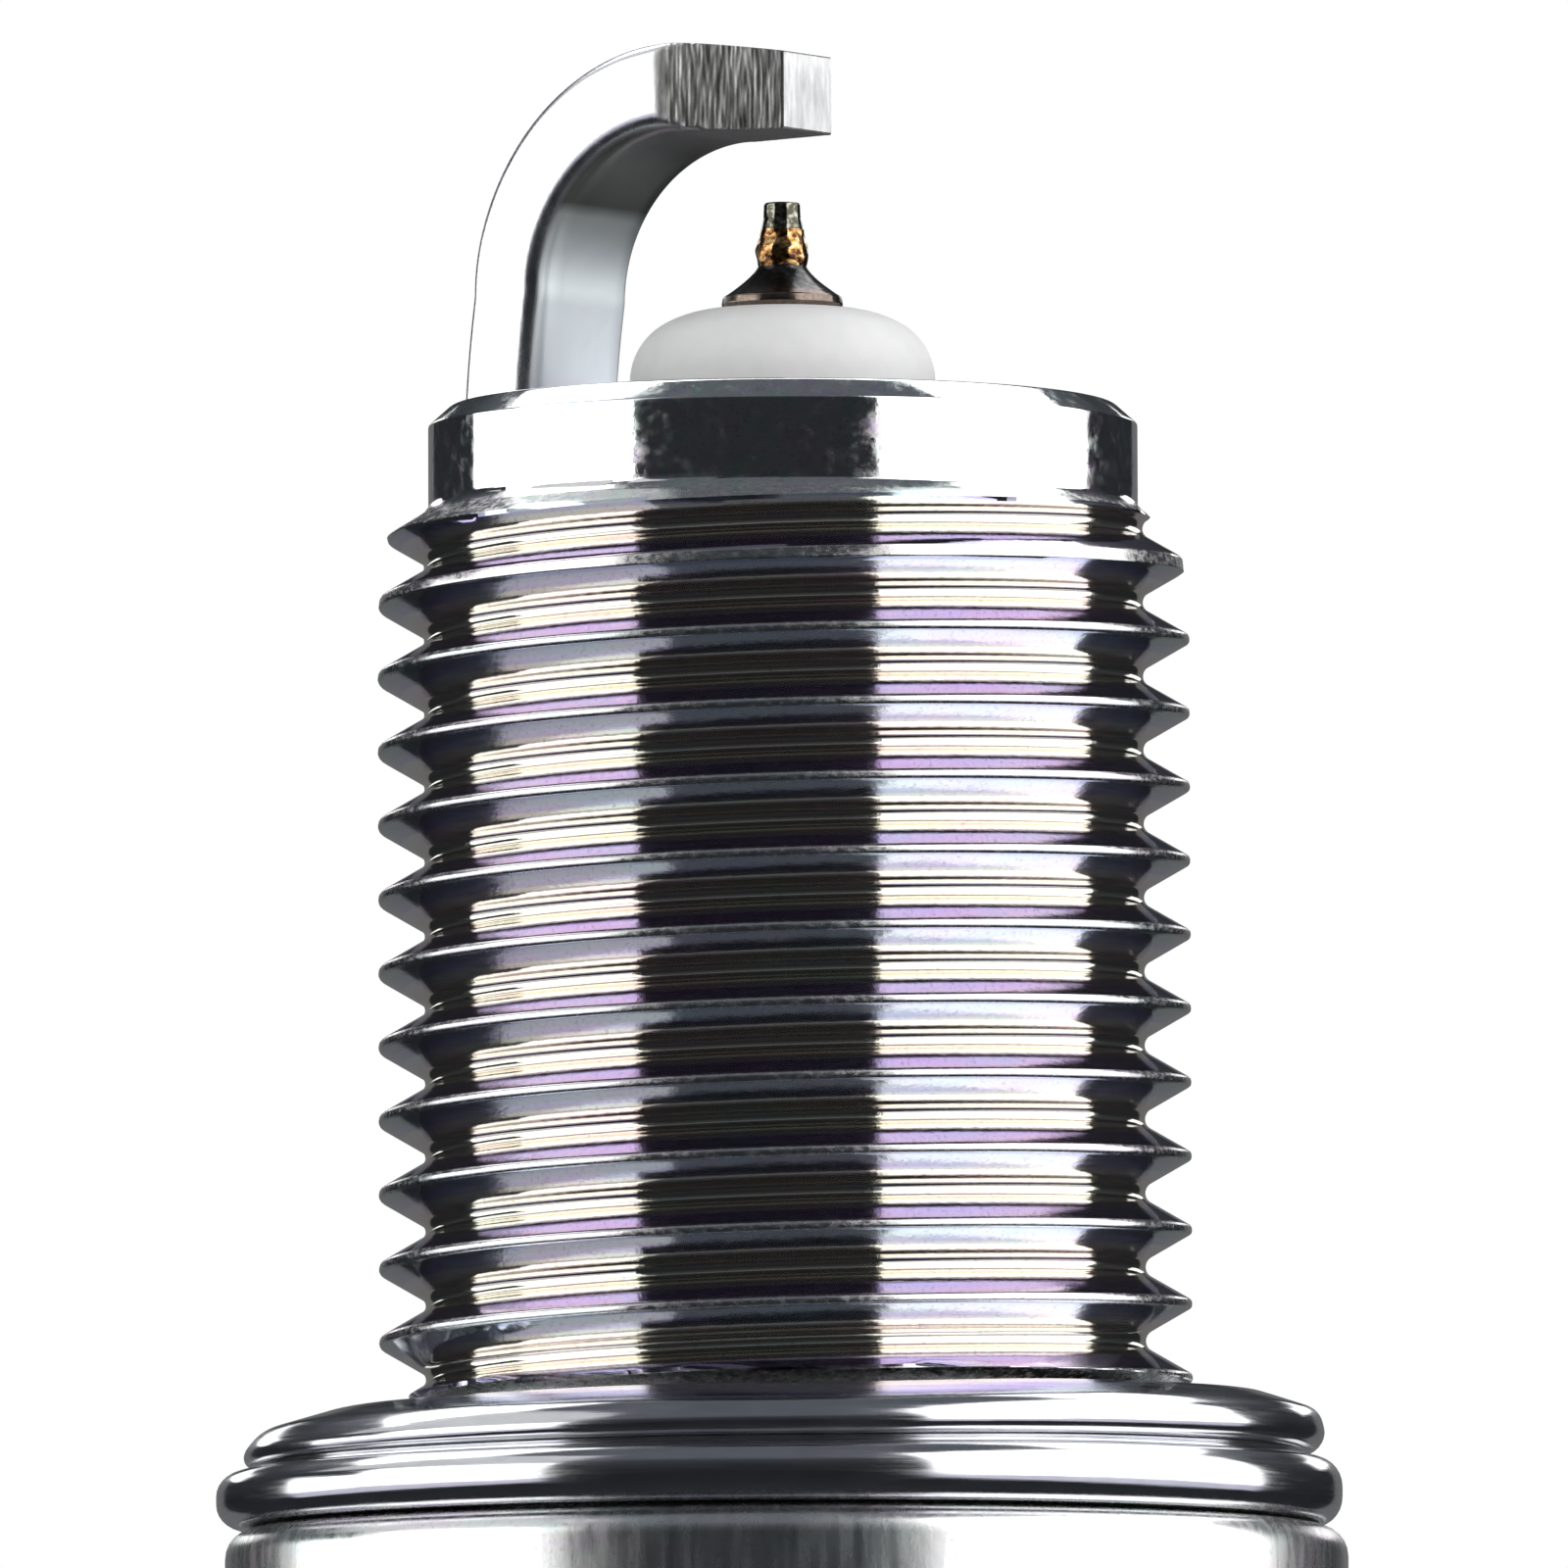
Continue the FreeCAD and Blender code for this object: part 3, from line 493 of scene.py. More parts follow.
MATERIALS = {m["slot"]: m for m in (
    nickel_plate(), gasket_steel(), alumina(), electrode_alloy(), weld_zone(), noble_tip(), strap_nickel(),
    strap_weld(), nut_plate(),
    plain_metal("packing_steel", (0.40, 0.40, 0.42), (0.56, 0.56, 0.58), 0.25, 0.45),
    plain_metal("copper", (0.66, 0.34, 0.22), (0.84, 0.50, 0.36), 0.20, 0.35),
    plain_metal("stud_steel", (0.52, 0.52, 0.54), (0.68, 0.68, 0.70), 0.18, 0.34),
    packed_powder("talc", (0.72, 0.71, 0.68), (0.86, 0.85, 0.82), 0.75, 0.95),
    packed_powder("seal_glass", (0.24, 0.17, 0.13), (0.48, 0.34, 0.26), 0.30, 0.60),
    packed_powder("resistor_glass", (0.06, 0.06, 0.07), (0.20, 0.20, 0.21), 0.35, 0.65),
)}


# ---------------------------------------------------------------- shell
def smooth_min(a, b, blend):
    """The smaller of two values, rounded where they cross over about that width."""
    h = min(max(0.5 + 0.5 * (b - a) / blend, 0), 1)
    return b * (1 - h) + a * h - blend * h * (1 - h)


def thread_radius(phase):
    """Radius of the thread at a phase in turns from a crest, -0.5 to 0.5."""
    up = abs(phase) * PITCH
    crest_half = CREST_ROUND * math.cos(FLANK)
    root_half = ROOT_ROUND * math.cos(FLANK)
    crest_centre = CREST_R - CREST_ROUND
    if up < crest_half:
        return crest_centre + math.sqrt(CREST_ROUND**2 - up**2)
    drop = (PITCH / 2 - root_half - crest_half) / math.tan(FLANK)
    root_centre = crest_centre + CREST_ROUND * math.sin(FLANK) - drop + ROOT_ROUND * math.sin(FLANK)
    if up > PITCH / 2 - root_half:
        return root_centre - math.sqrt(ROOT_ROUND**2 - (PITCH / 2 - up) ** 2)
    return crest_centre + CREST_ROUND * math.sin(FLANK) - (up - crest_half) / math.tan(FLANK)


ENVELOPE = [(0.0, NECK_R), (2.1, NECK_R), (2.45, CREST_R), (15.4, CREST_R), (16.8, 6.70),
            (17.14, 6.13), (17.28, PILOT_R), (FACE_Z, PILOT_R)]


def envelope(z):
    """Radius of the turned blank that the thread is rolled into."""
    return float(np.interp(z, [p[0] for p in ENVELOPE], [p[1] for p in ENVELOPE]))


def shell_angles():
    """Columns round the shell, closer together at the hexagon's corners."""
    halves = [30 * (k / 13) ** 1.5 for k in range(14)]
    sector = halves[:-1] + [60 - a for a in reversed(halves[1:])]
    return [math.radians(30 + 60 * s + a) for s in range(6) for a in sector]


def thread_rows():
    """Row positions in turns, closer together where a flank meets a rounding, and rows per pitch."""
    half = [0, 0.02, 0.04, 0.055, 0.068, 0.08, 0.13, 0.19, 0.25, 0.31, 0.348, 0.358, 0.37,
            0.385, 0.405, 0.43, 0.455, 0.48]
    pitch = [-0.5] + [-h for h in reversed(half[1:])] + half
    rows = [turn + h for turn in range(math.ceil(LAST_TURN) + 1) for h in pitch]
    return [v for v in rows if v <= LAST_TURN], len(pitch)


def thread_height(turns):
    """Height of a row point: one pitch a turn, squeezed a little near the firing face."""
    return THREAD_START + PITCH * min(turns, FULL_TURNS) + END_PITCH * max(turns - FULL_TURNS, 0)


def hexagon(turn, z):
    """Radius of the hexagon's flats cut by the chamfers at both ends."""
    flat = HEX_R / math.cos((turn + math.pi / 6) % (math.pi / 3) - math.pi / 6)
    rounded = smooth_min(flat, 9.19, 0.06)
    ends = [HEX_LOW, HEX_LOW + HEX_CHAMFER, HEX_HIGH - HEX_CHAMFER, HEX_HIGH]
    cone = np.interp(z, ends, [HEX_CHAMFER_R, 9.30, 9.30, HEX_CHAMFER_R])
    return smooth_min(rounded, float(cone), 0.05)


def make_shell():
    """Threaded shell in one closed mesh: helical rows for the thread, rings for the rest."""
    angles = shell_angles()
    count = len(angles)
    points = []
    faces = []
    flank = []
    depth = []

    def add(x, y, z, side=0.5, deep=0.0):
        points.append((x, y, z))
        flank.append(side)
        depth.append(deep)
        return len(points) - 1

    def ring(radius, z):
        row = []
        for turn in angles:
            r = radius(turn, z) if callable(radius) else radius
            row.append(add(r * math.cos(turn), r * math.sin(turn), z))
        return row

    def skin(low, high):
        for i in range(count):
            k = (i + 1) % count
            faces.append((low[i], low[k], high[k], high[i]))

    rows, per_pitch = thread_rows()
    grid = []
    for v in rows:
        row = []
        for turn in angles:
            turns = v + turn / (2 * math.pi)
            z = thread_height(turns)
            phase = (v + 0.5) % 1 - 0.5 if turns < FULL_TURNS else 0.5
            cut = thread_radius(phase)
            blank = envelope(z)
            r = smooth_min(cut, blank, 0.03)
            r += 0.004 * grain(r * math.cos(turn), r * math.sin(turn), z * 3, 0.5) * (abs(phase) < 0.08)
            threaded = cut < blank + 0.02
            # side and deep place the plate's painted reflection colours and painted shade along each turn.
            side = 0.5 + 0.5 * math.sin(2 * math.pi * phase) * threaded
            deep = (0.5 - 0.5 * math.cos(2 * math.pi * phase)) * threaded
            row.append(add(r * math.cos(turn), r * math.sin(turn), z, side, deep))
        grid.append(row)
    for j in range(len(grid) - 1):
        for i in range(count - 1):
            faces.append((grid[j][i], grid[j][i + 1], grid[j + 1][i + 1], grid[j + 1][i]))
        if j + 1 + per_pitch < len(grid):
            faces.append((grid[j][-1], grid[j + per_pitch][0], grid[j + per_pitch + 1][0], grid[j + 1][-1]))

    front = ring(PILOT_R, PILOT_EDGE)
    for i in range(count - 1):
        faces.append((grid[-1][i], grid[-1][i + 1], front[i + 1], front[i]))
    side_rows = [grid[j][-1] for j in range(len(grid) - 1, len(grid) - 1 - per_pitch - 1, -1)]
    faces.append((side_rows[-1], grid[-1][0], front[0], front[-1], *side_rows[:-1]))

    neck_low = 0.45
    rear = ring(NECK_R, neck_low)
    for i in range(count - 1):
        faces.append((rear[i], rear[i + 1], grid[0][i + 1], grid[0][i]))
    faces.append((rear[-1], rear[0], *[grid[j][0] for j in range(per_pitch + 1)], grid[0][-1]))

    bore = fillet([
        (PILOT_R, PILOT_EDGE), (PILOT_R, 18.66, 0.06), (5.62, FACE_Z, 0.20), (NOSE_BORE_R, FACE_Z, 0.06),
        (NOSE_BORE_R, 9.0), (LEDGE_R, 8.4, 0.1), (LEDGE_R, 6.9, 0.1), (TRUNK_BORE_R, 6.3),
        (TRUNK_BORE_R, -3.7), (HEX_BORE_R, -4.5), (HEX_BORE_R, -14.5), (BORE_LIP_R, -14.5, 0.05),
        (BORE_LIP_R, -15.1, 0.05), (5.62, SHELL_REAR, 0.08)], closed=False)
    lip = arc(bore[-1], (6.95, HEX_LOW), 1.55, 8)
    rings = [ring(r, z) for r, z in bore[1:] + lip]
    steps = [HEX_CHAMFER * (k / 9) for k in range(10)]
    rings.append(ring(HEX_CHAMFER_R - 0.05, HEX_LOW))
    rings += [ring(hexagon, HEX_LOW + up) for up in steps[1:]]
    rings += [ring(hexagon, z) for z in (-13.0, -12.5, -10.65, -8.8, -8.3)]
    rings += [ring(hexagon, HEX_HIGH - HEX_CHAMFER + up) for up in steps[:-1]]
    rings.append(ring(HEX_CHAMFER_R - 0.05, HEX_HIGH))
    waist = [(WAIST_R, HEX_HIGH)] + arc((WAIST_R, HEX_HIGH), (WAIST_R, COLLAR_LOW), WAIST_BULGE_R, 10)
    rings += [ring(r, z) for r, z in waist]
    collar = fillet([
        (WAIST_R, COLLAR_LOW), (9.125, COLLAR_LOW, 0.05), (COLLAR_R, -4.15, 0.12), (COLLAR_R, 0, 0.5),
        (NECK_R, 0, 0.1), (NECK_R, neck_low)], steps=6, closed=False)
    rings += [ring(r, z) for r, z in collar[1:-1]]
    path = [front] + rings + [rear]
    for low, high in zip(path, path[1:]):
        skin(low, high)

    piece = make_piece("shell_metal", points, faces, MATERIALS["nickel_plate"], "root", replaced=["shell"])
    store(piece, flank=flank, depth=depth)


# ---------------------------------------------------------------- gasket
def make_gasket():
    """Folded gasket: two rolled folds with a dark gap between them, lying loose and a little askew."""
    outline = fillet([
        (6.5, 0.03, 0.15), (9.5, 0.03, 0.42), (9.5, 1.02, 0.42), (8.75, 1.02, 0.03), (8.75, 1.09, 0.03),
        (9.25, 1.16, 0.25), (8.95, 1.74, 0.45), (7.9, 2.06, 0.6), (6.95, 2.04, 0.15), (6.95, 1.5, 0.05),
        (6.5, 1.45, 0.1)], steps=7)
    shape = spread(outline, 0.4)

    def lie(x, y, z, r):
        lift = min(max(z - 1.05, 0), 1)
        pressed = 1 + lift * (r > 7.5) * (0.028 if x > 0 else -0.033) * (x / r) ** 2
        wave = 0.02 * grain(x, y, 0, 4.0)
        fold = min(max((r - 7.2) / 0.8, 0), 1)
        tilt = 0.012 * x + 0.014 * max(x, 0) * fold
        return (x * pressed - 0.12, y * pressed, z + (tilt + wave) * z / 2)

    points, faces = lathe(shape, 240, lie)
    make_piece("gasket_strip", points, faces, MATERIALS["gasket_steel"], "gasket", replaced=["gasket"])


# ---------------------------------------------------------------- insulator
def make_insulator():
    """White insulator: rounded nose, shoulders inside the shell, ribbed barrel behind it."""
    ribs = []
    deep = RIB_GROOVE / 2
    for k in range(5):
        high = RIB_HIGH - RIB_PITCH * k
        ribs.append((BARREL_R, high + 0.12))
        for t in np.linspace(-1, 1, 11):
            groove = 0.52 * math.cos(t * math.pi / 2) ** 1.2
            ribs.append((BARREL_R - groove, high - deep - deep * t))
        ribs.append((BARREL_R, high - RIB_GROOVE - 0.12))
    top = (1.05, 20.64)
    shoulder = (2.0, 20.4)
    foot = (2.585, 19.42)
    nose = [top] + arc(top, shoulder, -2.0, 6) + arc(shoulder, foot, -1.115, 12)
    body = fillet([
        foot, (3.3, 7.6), (3.55, 6.67, 0.1), (4.65, 6.01, 0.1), (4.65, -4.05), (5.95, -4.95, 0.2),
        (5.95, -10.2, 0.3), (5.05, -10.75, 0.1), (5.05, -15.7, 0.1), (BARREL_R, -16.0, 0.1),
        (BARREL_R, -27.0)], closed=False)
    rear = fillet([
        (BARREL_R, -38.2), (BARREL_R, -38.4, 0.3), (HEAD_R, -40.4, 0.5), (HEAD_R, HEAD_LOW, 0.5),
        (CORE_BORE_R, HEAD_LOW, 0.05), (CORE_BORE_R, 3.9, 0.05), (1.05, 4.6, 0.05)], closed=False)
    outline = nose + body[1:] + ribs + rear
    outline.reverse()
    points, faces = lathe(spread(outline, 1.2), 160)
    make_piece("insulator_ceramic", points, faces, MATERIALS["alumina"], "root", replaced=["insulator"])


# ---------------------------------------------------------------- firing end
def make_centre_electrode():
    """Centre electrode: headed sheath, a rolled rim at its end, then a concave cone."""
    rim_low = (1.0, 20.52)
    cone_low = 20.905
    cone_rise = 0.465
    sheath = fillet([
        (0, 2.2), (0.9, 2.2, 0.1), (0.9, 3.1), (1.65, 3.3, 0.1), (1.65, 3.6, 0.1), (1.0, 4.5),
        rim_low], closed=False)
    rim = fillet([rim_low, (1.0, 20.66), (1.03, 20.73, 0.04), (1.01, 20.85, 0.06), (0.92, cone_low, 0.05)],
                 closed=False)
    cone = [(0.42 + 0.50 * (1 - t) ** 1.35, cone_low + cone_rise * t) for t in np.linspace(0, 1, 10)]
    outline = sheath[:-1] + rim[:-1] + cone + [(0, 21.37)]

    def settle(x, y, z, r):
        push = 1 + 0.012 * grain(x, y, z, 0.35) * (z > 20.5)
        return (x * push, y * push, z)

    points, faces = lathe(spread(outline, 2.0, closed=False), 96, settle)
    make_piece("centre_electrode_end", points, faces, MATERIALS["electrode_alloy"], "root",
               replaced=["centre_electrode"])


def make_tip():
    """Laser weld and wire tip."""
    weld = [(0, WELD_LOW)]
    for t in np.linspace(0, 1, 16):
        swell = 0.045 * math.sin(math.pi * min(1, t * 1.25)) - 0.09 * max(0, t - 0.6)
        weld.append((0.40 + swell, WELD_LOW + (WELD_HIGH - WELD_LOW) * t))
    weld.append((0, WELD_HIGH))

    def melt(x, y, z, r):
        push = 1 + 0.07 * grain(x, y, z, 0.22, 3.0)
        return (x * push, y * push, z + 0.01 * grain(x, y, z, 0.3, 7.0))

    points, faces = lathe(weld, 72, melt)
    make_piece("tip_weld_bead", points, faces, MATERIALS["weld_zone"], "root", sharp=60,
               replaced=["tip_weld"])
    wire = fillet([
        (0, WELD_HIGH), (0.36, WELD_HIGH), (0.315, 22.2, 0.1), (0.305, TIP_HIGH, 0.04), (0, TIP_HIGH)],
        closed=False)

    def cut(x, y, z, r):
        push = 1 + 0.02 * grain(x, y, z, 0.2, 5.0)
        return (x * push, y * push, z)

    points, faces = lathe(spread(wire, 0.08, closed=False), 64, cut)
    make_piece("firing_tip_wire", points, faces, MATERIALS["noble_tip"], "root", replaced=["firing_tip"])


STRAP = {"turn": math.radians(146), "width": 2.66, "thick": 1.42, "out": 5.7, "lean": 0.2, "low": 18.98,
         "bend": 21.07, "bend_r": 4.03, "end": -0.5, "trim": 1.74, "end_width": 1.49, "edge": 0.20,
         "near_inner_edge": 0.36, "far_inner_edge": 0.12, "swell": 0.08, "droop": 0.21}


def strap_line():
    """Stations (outer point, inner point) of the strap, from foot to end, in its own plane."""
    s = STRAP
    inner_r = s["bend_r"] - s["thick"]
    centre = Vector((s["out"] - s["lean"] - s["bend_r"], s["bend"]))
    stations = []
    for t in np.linspace(0, 1, 14):
        z = s["low"] + (s["bend"] - s["low"]) * t
        out = s["out"] - s["lean"] * t**1.5
        stations.append((Vector((out, z)), Vector((out - s["thick"], z))))
    for t in np.linspace(0, math.pi / 2, 40)[1:]:
        way = Vector((math.cos(t), math.sin(t)))
        swell = s["swell"] * math.sin(t) ** 4
        stations.append((centre + way * (s["bend_r"] + swell), centre + way * inner_r))
    top = s["bend"] + s["bend_r"] + s["swell"]
    bottom = s["bend"] + inner_r
    steps = 110
    for t in np.linspace(0, 1, steps + 1)[1:]:
        x = centre.x + (s["end"] - centre.x) * t
        stations.append((Vector((x, top - s["droop"] * t**1.3)), Vector((x, bottom - 0.03 * t))))
    return stations


def make_strap():
    """Ground electrode: drawn flat wire, bent over the tip, its sides trimmed by a shear near the end."""
    s = STRAP
    half = s["width"] / 2
    edge = s["edge"]
    near = s["near_inner_edge"]
    far = s["far_inner_edge"]
    parts = np.linspace(0, 1, 9)
    turns = np.linspace(0, math.pi / 2, 6)
    points = []
    shear = []
    inner_face = []
    stations = strap_line()
    rows = []
    for outer, inner in stations:
        middle = (outer + inner) / 2
        out = (outer - inner).normalized()
        thick = (outer - inner).length / 2
        trim = max(0.0, s["trim"] - middle.x) if middle.y > s["bend"] else 0.0
        slope = (s["width"] - s["end_width"]) / 2 / (s["trim"] - s["end"])
        clip = half - slope * trim
        limit = clip - 0.002 if trim > 0 else half
        section = []
        for first, radius, other, way in ((edge, edge, near, 1), (near, far, edge, -1)):
            start = -min(limit, half - first)
            stop = min(limit, half - radius)
            section += [(way * (start + (stop - start) * v), way * thick) for v in parts]
            for t in turns[1:]:
                section.append((way * (half - radius + radius * math.sin(t)),
                                way * (thick - radius + radius * math.cos(t))))
            run = 2 * thick - radius - other
            section += [(way * half, way * (thick - radius - run * v)) for v in parts[1:-1]]
            for t in turns[:-1]:
                section.append((way * (half - other + other * math.cos(t)),
                                way * (other - thick - other * math.sin(t))))
        row = []
        for across, up in section:
            cut = abs(across) > clip - 1e-6
            mark = 0.0
            if cut and trim > 0:
                mark = 1.0
                tear = grain(middle.x, 0, 0.15 * up, 0.05, 11.0 if across > 0 else 4.0)
                tear += 0.6 * grain(middle.x, 0, 0.3 * up, 0.13, 2.0)
                across = math.copysign(clip + 0.007 * tear, across)
                up += 0.02 * grain(middle.x, across, 0, 0.09, 8.0) * (abs(up) > thick - 0.1)
            x = middle.x + out.x * up
            z = middle.y + out.y * up
            row.append(len(points))
            points.append((x, across, z))
            shear.append(mark)
            inner_face.append(1.0 if up < -thick + 0.08 else 0.0)
        rows.append(row)
    centre = (stations[-1][0] + stations[-1][1]) / 2
    border = []
    for index in rows[-1]:
        x, across, z = points[index]
        border.append(len(points))
        points.append((x - 0.03, across * 0.96, centre.y + (z - centre.y) * 0.955))
        shear.append(0.5)
        inner_face.append(0.0)
    rows.append(border)
    faces = []
    count = len(rows[0])
    for low, high in zip(rows, rows[1:]):
        for i in range(count):
            k = (i + 1) % count
            faces.append((low[k], low[i], high[i], high[k]))
    faces.append(tuple(rows[0]))
    faces.append(tuple(reversed(rows[-1])))
    ct = math.cos(s["turn"])
    st = math.sin(s["turn"])
    placed = [(x * ct - y * st, x * st + y * ct, z) for x, y, z in points]
    piece = make_piece("ground_electrode_strap", placed, faces, MATERIALS["strap_nickel"], "root", sharp=40,
                       replaced=["ground_electrode"])
    store(piece, shear=shear, inner=inner_face)


def make_weld_flash():
    """Low lumps of flash at both sides of the strap's foot."""
    s = STRAP
    points = []
    faces = []
    ct = math.cos(s["turn"])
    st = math.sin(s["turn"])
    for side in (-1, 1):
        start = len(points)
        around = 40
        up = 8
        for j in range(up + 1):
            lift = j / up
            for i in range(around):
                t = 2 * math.pi * i / around
                rad = math.cos(lift * math.pi / 2) ** 0.6 if j < up else 0
                lump = 1 + 0.25 * grain(math.cos(t) * 2, math.sin(t) * 2, side, 0.9)
                x = s["out"] - s["thick"] / 2 + 0.5 * rad * math.cos(t) * lump
                y = side * (s["width"] / 2 + 0.03) + 0.16 * rad * math.sin(t) * lump
                z = FACE_Z - 0.02 + 0.17 * lift * (1 + 0.3 * grain(math.cos(t), math.sin(t), lift, 0.7))
                if j == up and i:
                    continue
                points.append((x * ct - y * st, x * st + y * ct, z))
        for j in range(up - 1):
            for i in range(around):
                k = (i + 1) % around
                a = start + j * around
                faces.append((a + i, a + k, a + around + k, a + around + i))
        tip = start + up * around
        last = start + (up - 1) * around
        for i in range(around):
            faces.append((last + i, last + (i + 1) % around, tip))
        faces.append(tuple(start + i for i in reversed(range(around))))
    make_piece("ground_electrode_flash", points, faces, MATERIALS["strap_weld"], "root", sharp=80,
               replaced=["ground_electrode_weld"])


# ---------------------------------------------------------------- terminal
def make_terminal_nut():
    """Screw-off terminal nut with a waist for the cap's spring."""
    bevel = 0.25
    mouth = NUT_BORE_R + bevel
    outline = fillet([
        (NUT_BORE_R, NUT_HIGH - bevel, 0.05), (mouth, NUT_HIGH, 0.05), (NUT_R - bevel, NUT_HIGH, 0.1),
        (NUT_R, NUT_HIGH - bevel, 0.1), (NUT_R, -44.6, 0.2), (NUT_WAIST_R, -45.5, 0.4),
        (NUT_WAIST_R, -46.7, 0.4), (NUT_R, -47.5, 0.3), (NUT_R, -49.5, 0.3), (NUT_WAIST_R, NUT_LOW, 0.2),
        (mouth, NUT_LOW, 0.05), (NUT_BORE_R, NUT_LOW + bevel, 0.05)])
    outline.reverse()
    points, faces = lathe(spread(outline, 0.8), 144)
    make_piece("terminal_nut_plated", points, faces, MATERIALS["nut_plate"], "terminal_nut",
               replaced=["terminal_nut"])


def paint_cad_nodes():
    """Gives each CAD node that still shows its own procedural material."""
    for part in frame["record"]["subparts"]:
        node = NODES[part["node"]]
        node.data.materials.clear()
        node.data.materials.append(MATERIALS[part["material_slot"]])


# ---------------------------------------------------------------- studio
STUDIO_R = 0.5


def direction(azimuth, elevation):
    """Unit vector at an azimuth left of the camera's side, and an elevation, in degrees."""
    a = math.radians(azimuth)
    e = math.radians(elevation)
    return Vector((-math.sin(a) * math.cos(e), -math.cos(a) * math.cos(e), math.sin(e)))


def softbox(name, azimuth, elevation, width, height, radiance, lift=0.0, glossy=True, tint=(1, 1, 1)):
    """A rectangular soft light that looks at the plug's front end, unseen by the camera."""
    light = bpy.data.lights.new(name, "AREA")
    light.shape = "RECTANGLE"
    light.size = width
    light.size_y = height
    light.energy = radiance * math.pi * width * height
    light.color = tint
    box = bpy.data.objects.new(name, light)
    bpy.context.scene.collection.objects.link(box)
    way = direction(azimuth, elevation)
    box.location = Vector((0, 0, 0.012 + lift)) + way * STUDIO_R
    box.rotation_mode = "QUATERNION"
    box.rotation_quaternion = way.to_track_quat("Z", "Y")
    box.visible_camera = False
    box.visible_glossy = glossy


def side_box(name, near, far, base, top, radiance, tint=(1, 1, 1)):
    """An upright soft box between two azimuths and two elevations, in degrees."""
    width = 2 * STUDIO_R * math.tan(abs(math.radians(far - near)) / 2)
    low = STUDIO_R * math.tan(math.radians(base))
    high = STUDIO_R * math.tan(math.radians(top))
    softbox(name, (near + far) / 2, 0, width, high - low, radiance, lift=(high + low) / 2, tint=tint)


def make_lights():
    """Tall boxes left and right with a dark gap in front, dimmer ones above, below and behind."""
    violet = (0.86, 0.84, 1.0)
    side_box("box_left", 49, 98, -6, 28, 2.1)
    side_box("box_left_far", 98, 120, -6, 12, 1.95)
    side_box("box_left_dim", 49, 120, 29, 58, 0.6)
    side_box("box_left_low", 49, 120, -20, -6, 0.8, tint=violet)
    side_box("box_right", -31, -117, -6, 58, 2.1)
    side_box("box_right_low", -31, -117, -20, -6, 0.8, tint=violet)
    for name, side in (("left", 1), ("right", -1)):
        softbox(f"high_{name}", 143 * side, 52, 0.38, 0.22, 2.2)
        softbox(f"rim_{name}", 159 * side, 14, 0.16, 0.07, 1.6)
    softbox("behind", 180, -5, 0.4, 0.26, 0.13)
    softbox("fill_front", -10, 25, 0.6, 0.6, 1.3, glossy=False)


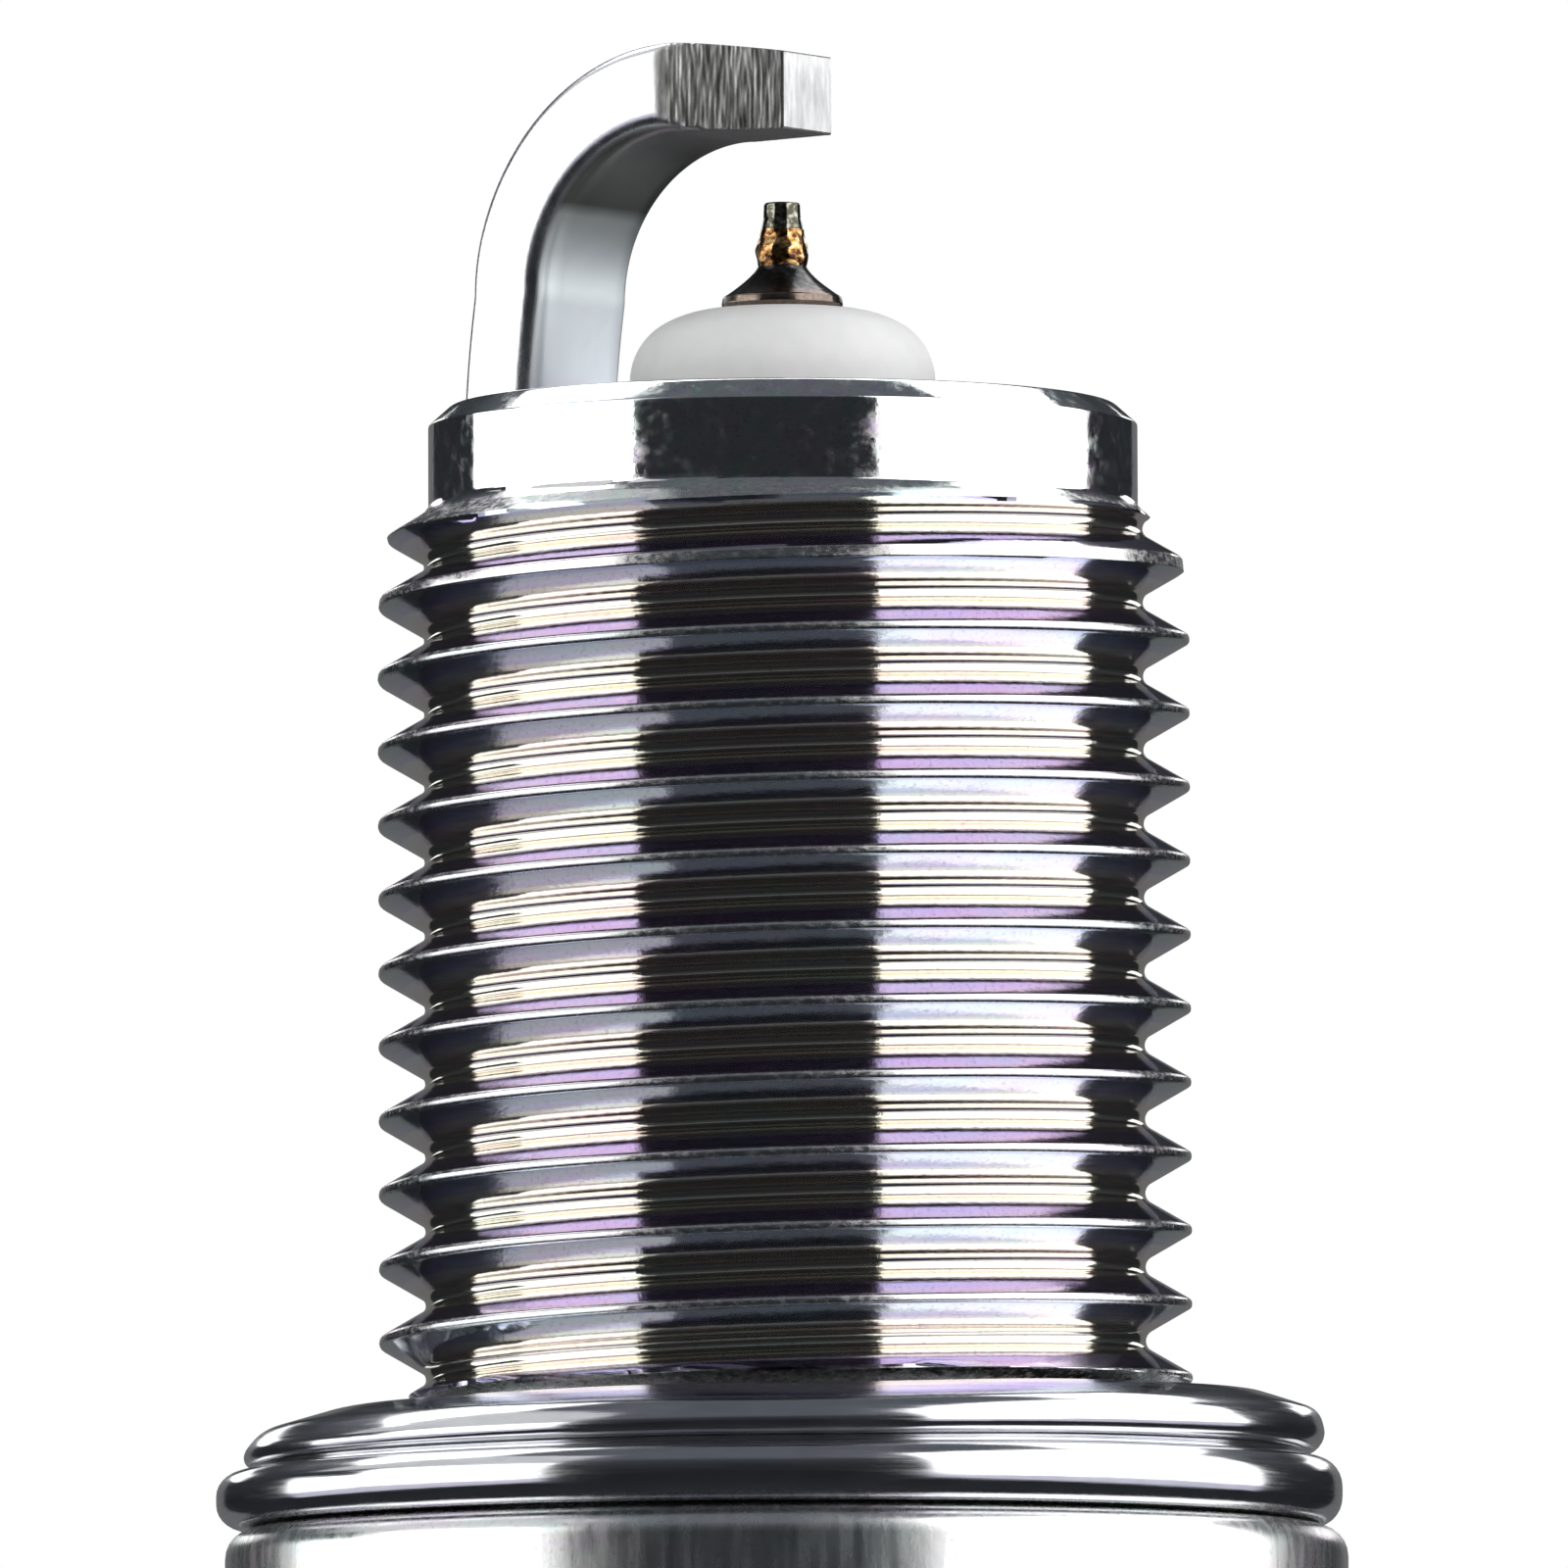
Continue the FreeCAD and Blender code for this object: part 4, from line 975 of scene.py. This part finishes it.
def make_world():
    """White for the camera, a dim bluish gradient from below to above for everything else."""
    world = bpy.data.worlds.new("studio")
    bpy.context.scene.world = world
    world.use_nodes = True
    tree = world.node_tree
    shown = tree.nodes["Background"]
    shown.inputs["Color"].default_value = (1, 1, 1, 1)
    dim = tree.nodes.new("ShaderNodeBackground")
    sky = tree.nodes.new("ShaderNodeValToRGB")
    stops = ((0.0, 0.03), (0.5, 0.018), (0.72, 0.05), (0.82, 0.13), (1.0, 0.12))
    for k, (at, grey) in enumerate(stops):
        stop = sky.color_ramp.elements[k] if k < 2 else sky.color_ramp.elements.new(at)
        stop.position = at
        stop.color = (grey * 0.93, grey, grey * 1.15, 1)
    way = tree.nodes.new("ShaderNodeTexCoord")
    axis = tree.nodes.new("ShaderNodeSeparateXYZ")
    half = tree.nodes.new("ShaderNodeMath")
    half.operation = "MULTIPLY_ADD"
    half.inputs[1].default_value = 0.5
    half.inputs[2].default_value = 0.5
    tree.links.new(way.outputs["Generated"], axis.inputs[0])
    tree.links.new(axis.outputs["Z"], half.inputs[0])
    tree.links.new(half.outputs[0], sky.inputs["Fac"])
    tree.links.new(sky.outputs["Color"], dim.inputs["Color"])
    rays = tree.nodes.new("ShaderNodeLightPath")
    pick = tree.nodes.new("ShaderNodeMixShader")
    tree.links.new(rays.outputs["Is Camera Ray"], pick.inputs[0])
    tree.links.new(dim.outputs[0], pick.inputs[1])
    tree.links.new(shown.outputs[0], pick.inputs[2])
    tree.links.new(pick.outputs[0], tree.nodes["World Output"].inputs["Surface"])


def make_floor():
    """Pale floor that glows white far out; it stays under the terminal nut when the nut comes off."""
    p = Paint("floor", roughness=0.6)
    p.colour(p.curve(p.noise(40), (0.3, (0.82, 0.82, 0.82)), (0.7, (0.86, 0.86, 0.86))))
    p.shader.inputs["Emission Color"].default_value = (1, 1, 1, 1)
    p.join(p.away(0.12, 0.45), p.shader.inputs["Emission Strength"])
    size = 3.0
    level = reach("terminal_nut")[0].z * MM
    mesh = bpy.data.meshes.new("floor")
    corners = [(-size, -size, level), (size, -size, level), (size, size, level), (-size, size, level)]
    mesh.from_pydata(corners, [], [(0, 1, 2, 3)])
    mesh.materials.append(p.material)
    floor = bpy.data.objects.new("floor", mesh)
    bpy.context.scene.collection.objects.link(floor)
    floor.visible_glossy = False
    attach(floor, "terminal_nut")


def make_camera():
    """Long lens a little below the firing end, looking slightly up, with a hair of roll."""
    camera = bpy.data.cameras.new("camera")
    camera.sensor_width = 36
    shown_width = 0.0265
    distance = 0.475
    camera.lens = camera.sensor_width * distance / shown_width
    eye = bpy.data.objects.new("camera", camera)
    bpy.context.scene.collection.objects.link(eye)
    target = Vector((0, 0, 0.0126))
    way = direction(0, -4.3)
    eye.location = target + way * distance
    eye.rotation_mode = "QUATERNION"
    roll = Matrix.Rotation(math.radians(-0.2), 3, way)
    eye.rotation_quaternion = (roll @ way.to_track_quat("Z", "Y").to_matrix()).to_quaternion()
    camera.clip_start = 0.01
    bpy.context.scene.camera = eye


make_shell()
make_gasket()
make_insulator()
make_centre_electrode()
make_tip()
make_strap()
make_weld_flash()
make_terminal_nut()
paint_cad_nodes()
make_lights()
make_world()
make_floor()
make_camera()
bpy.context.scene.view_settings.view_transform = "Standard"
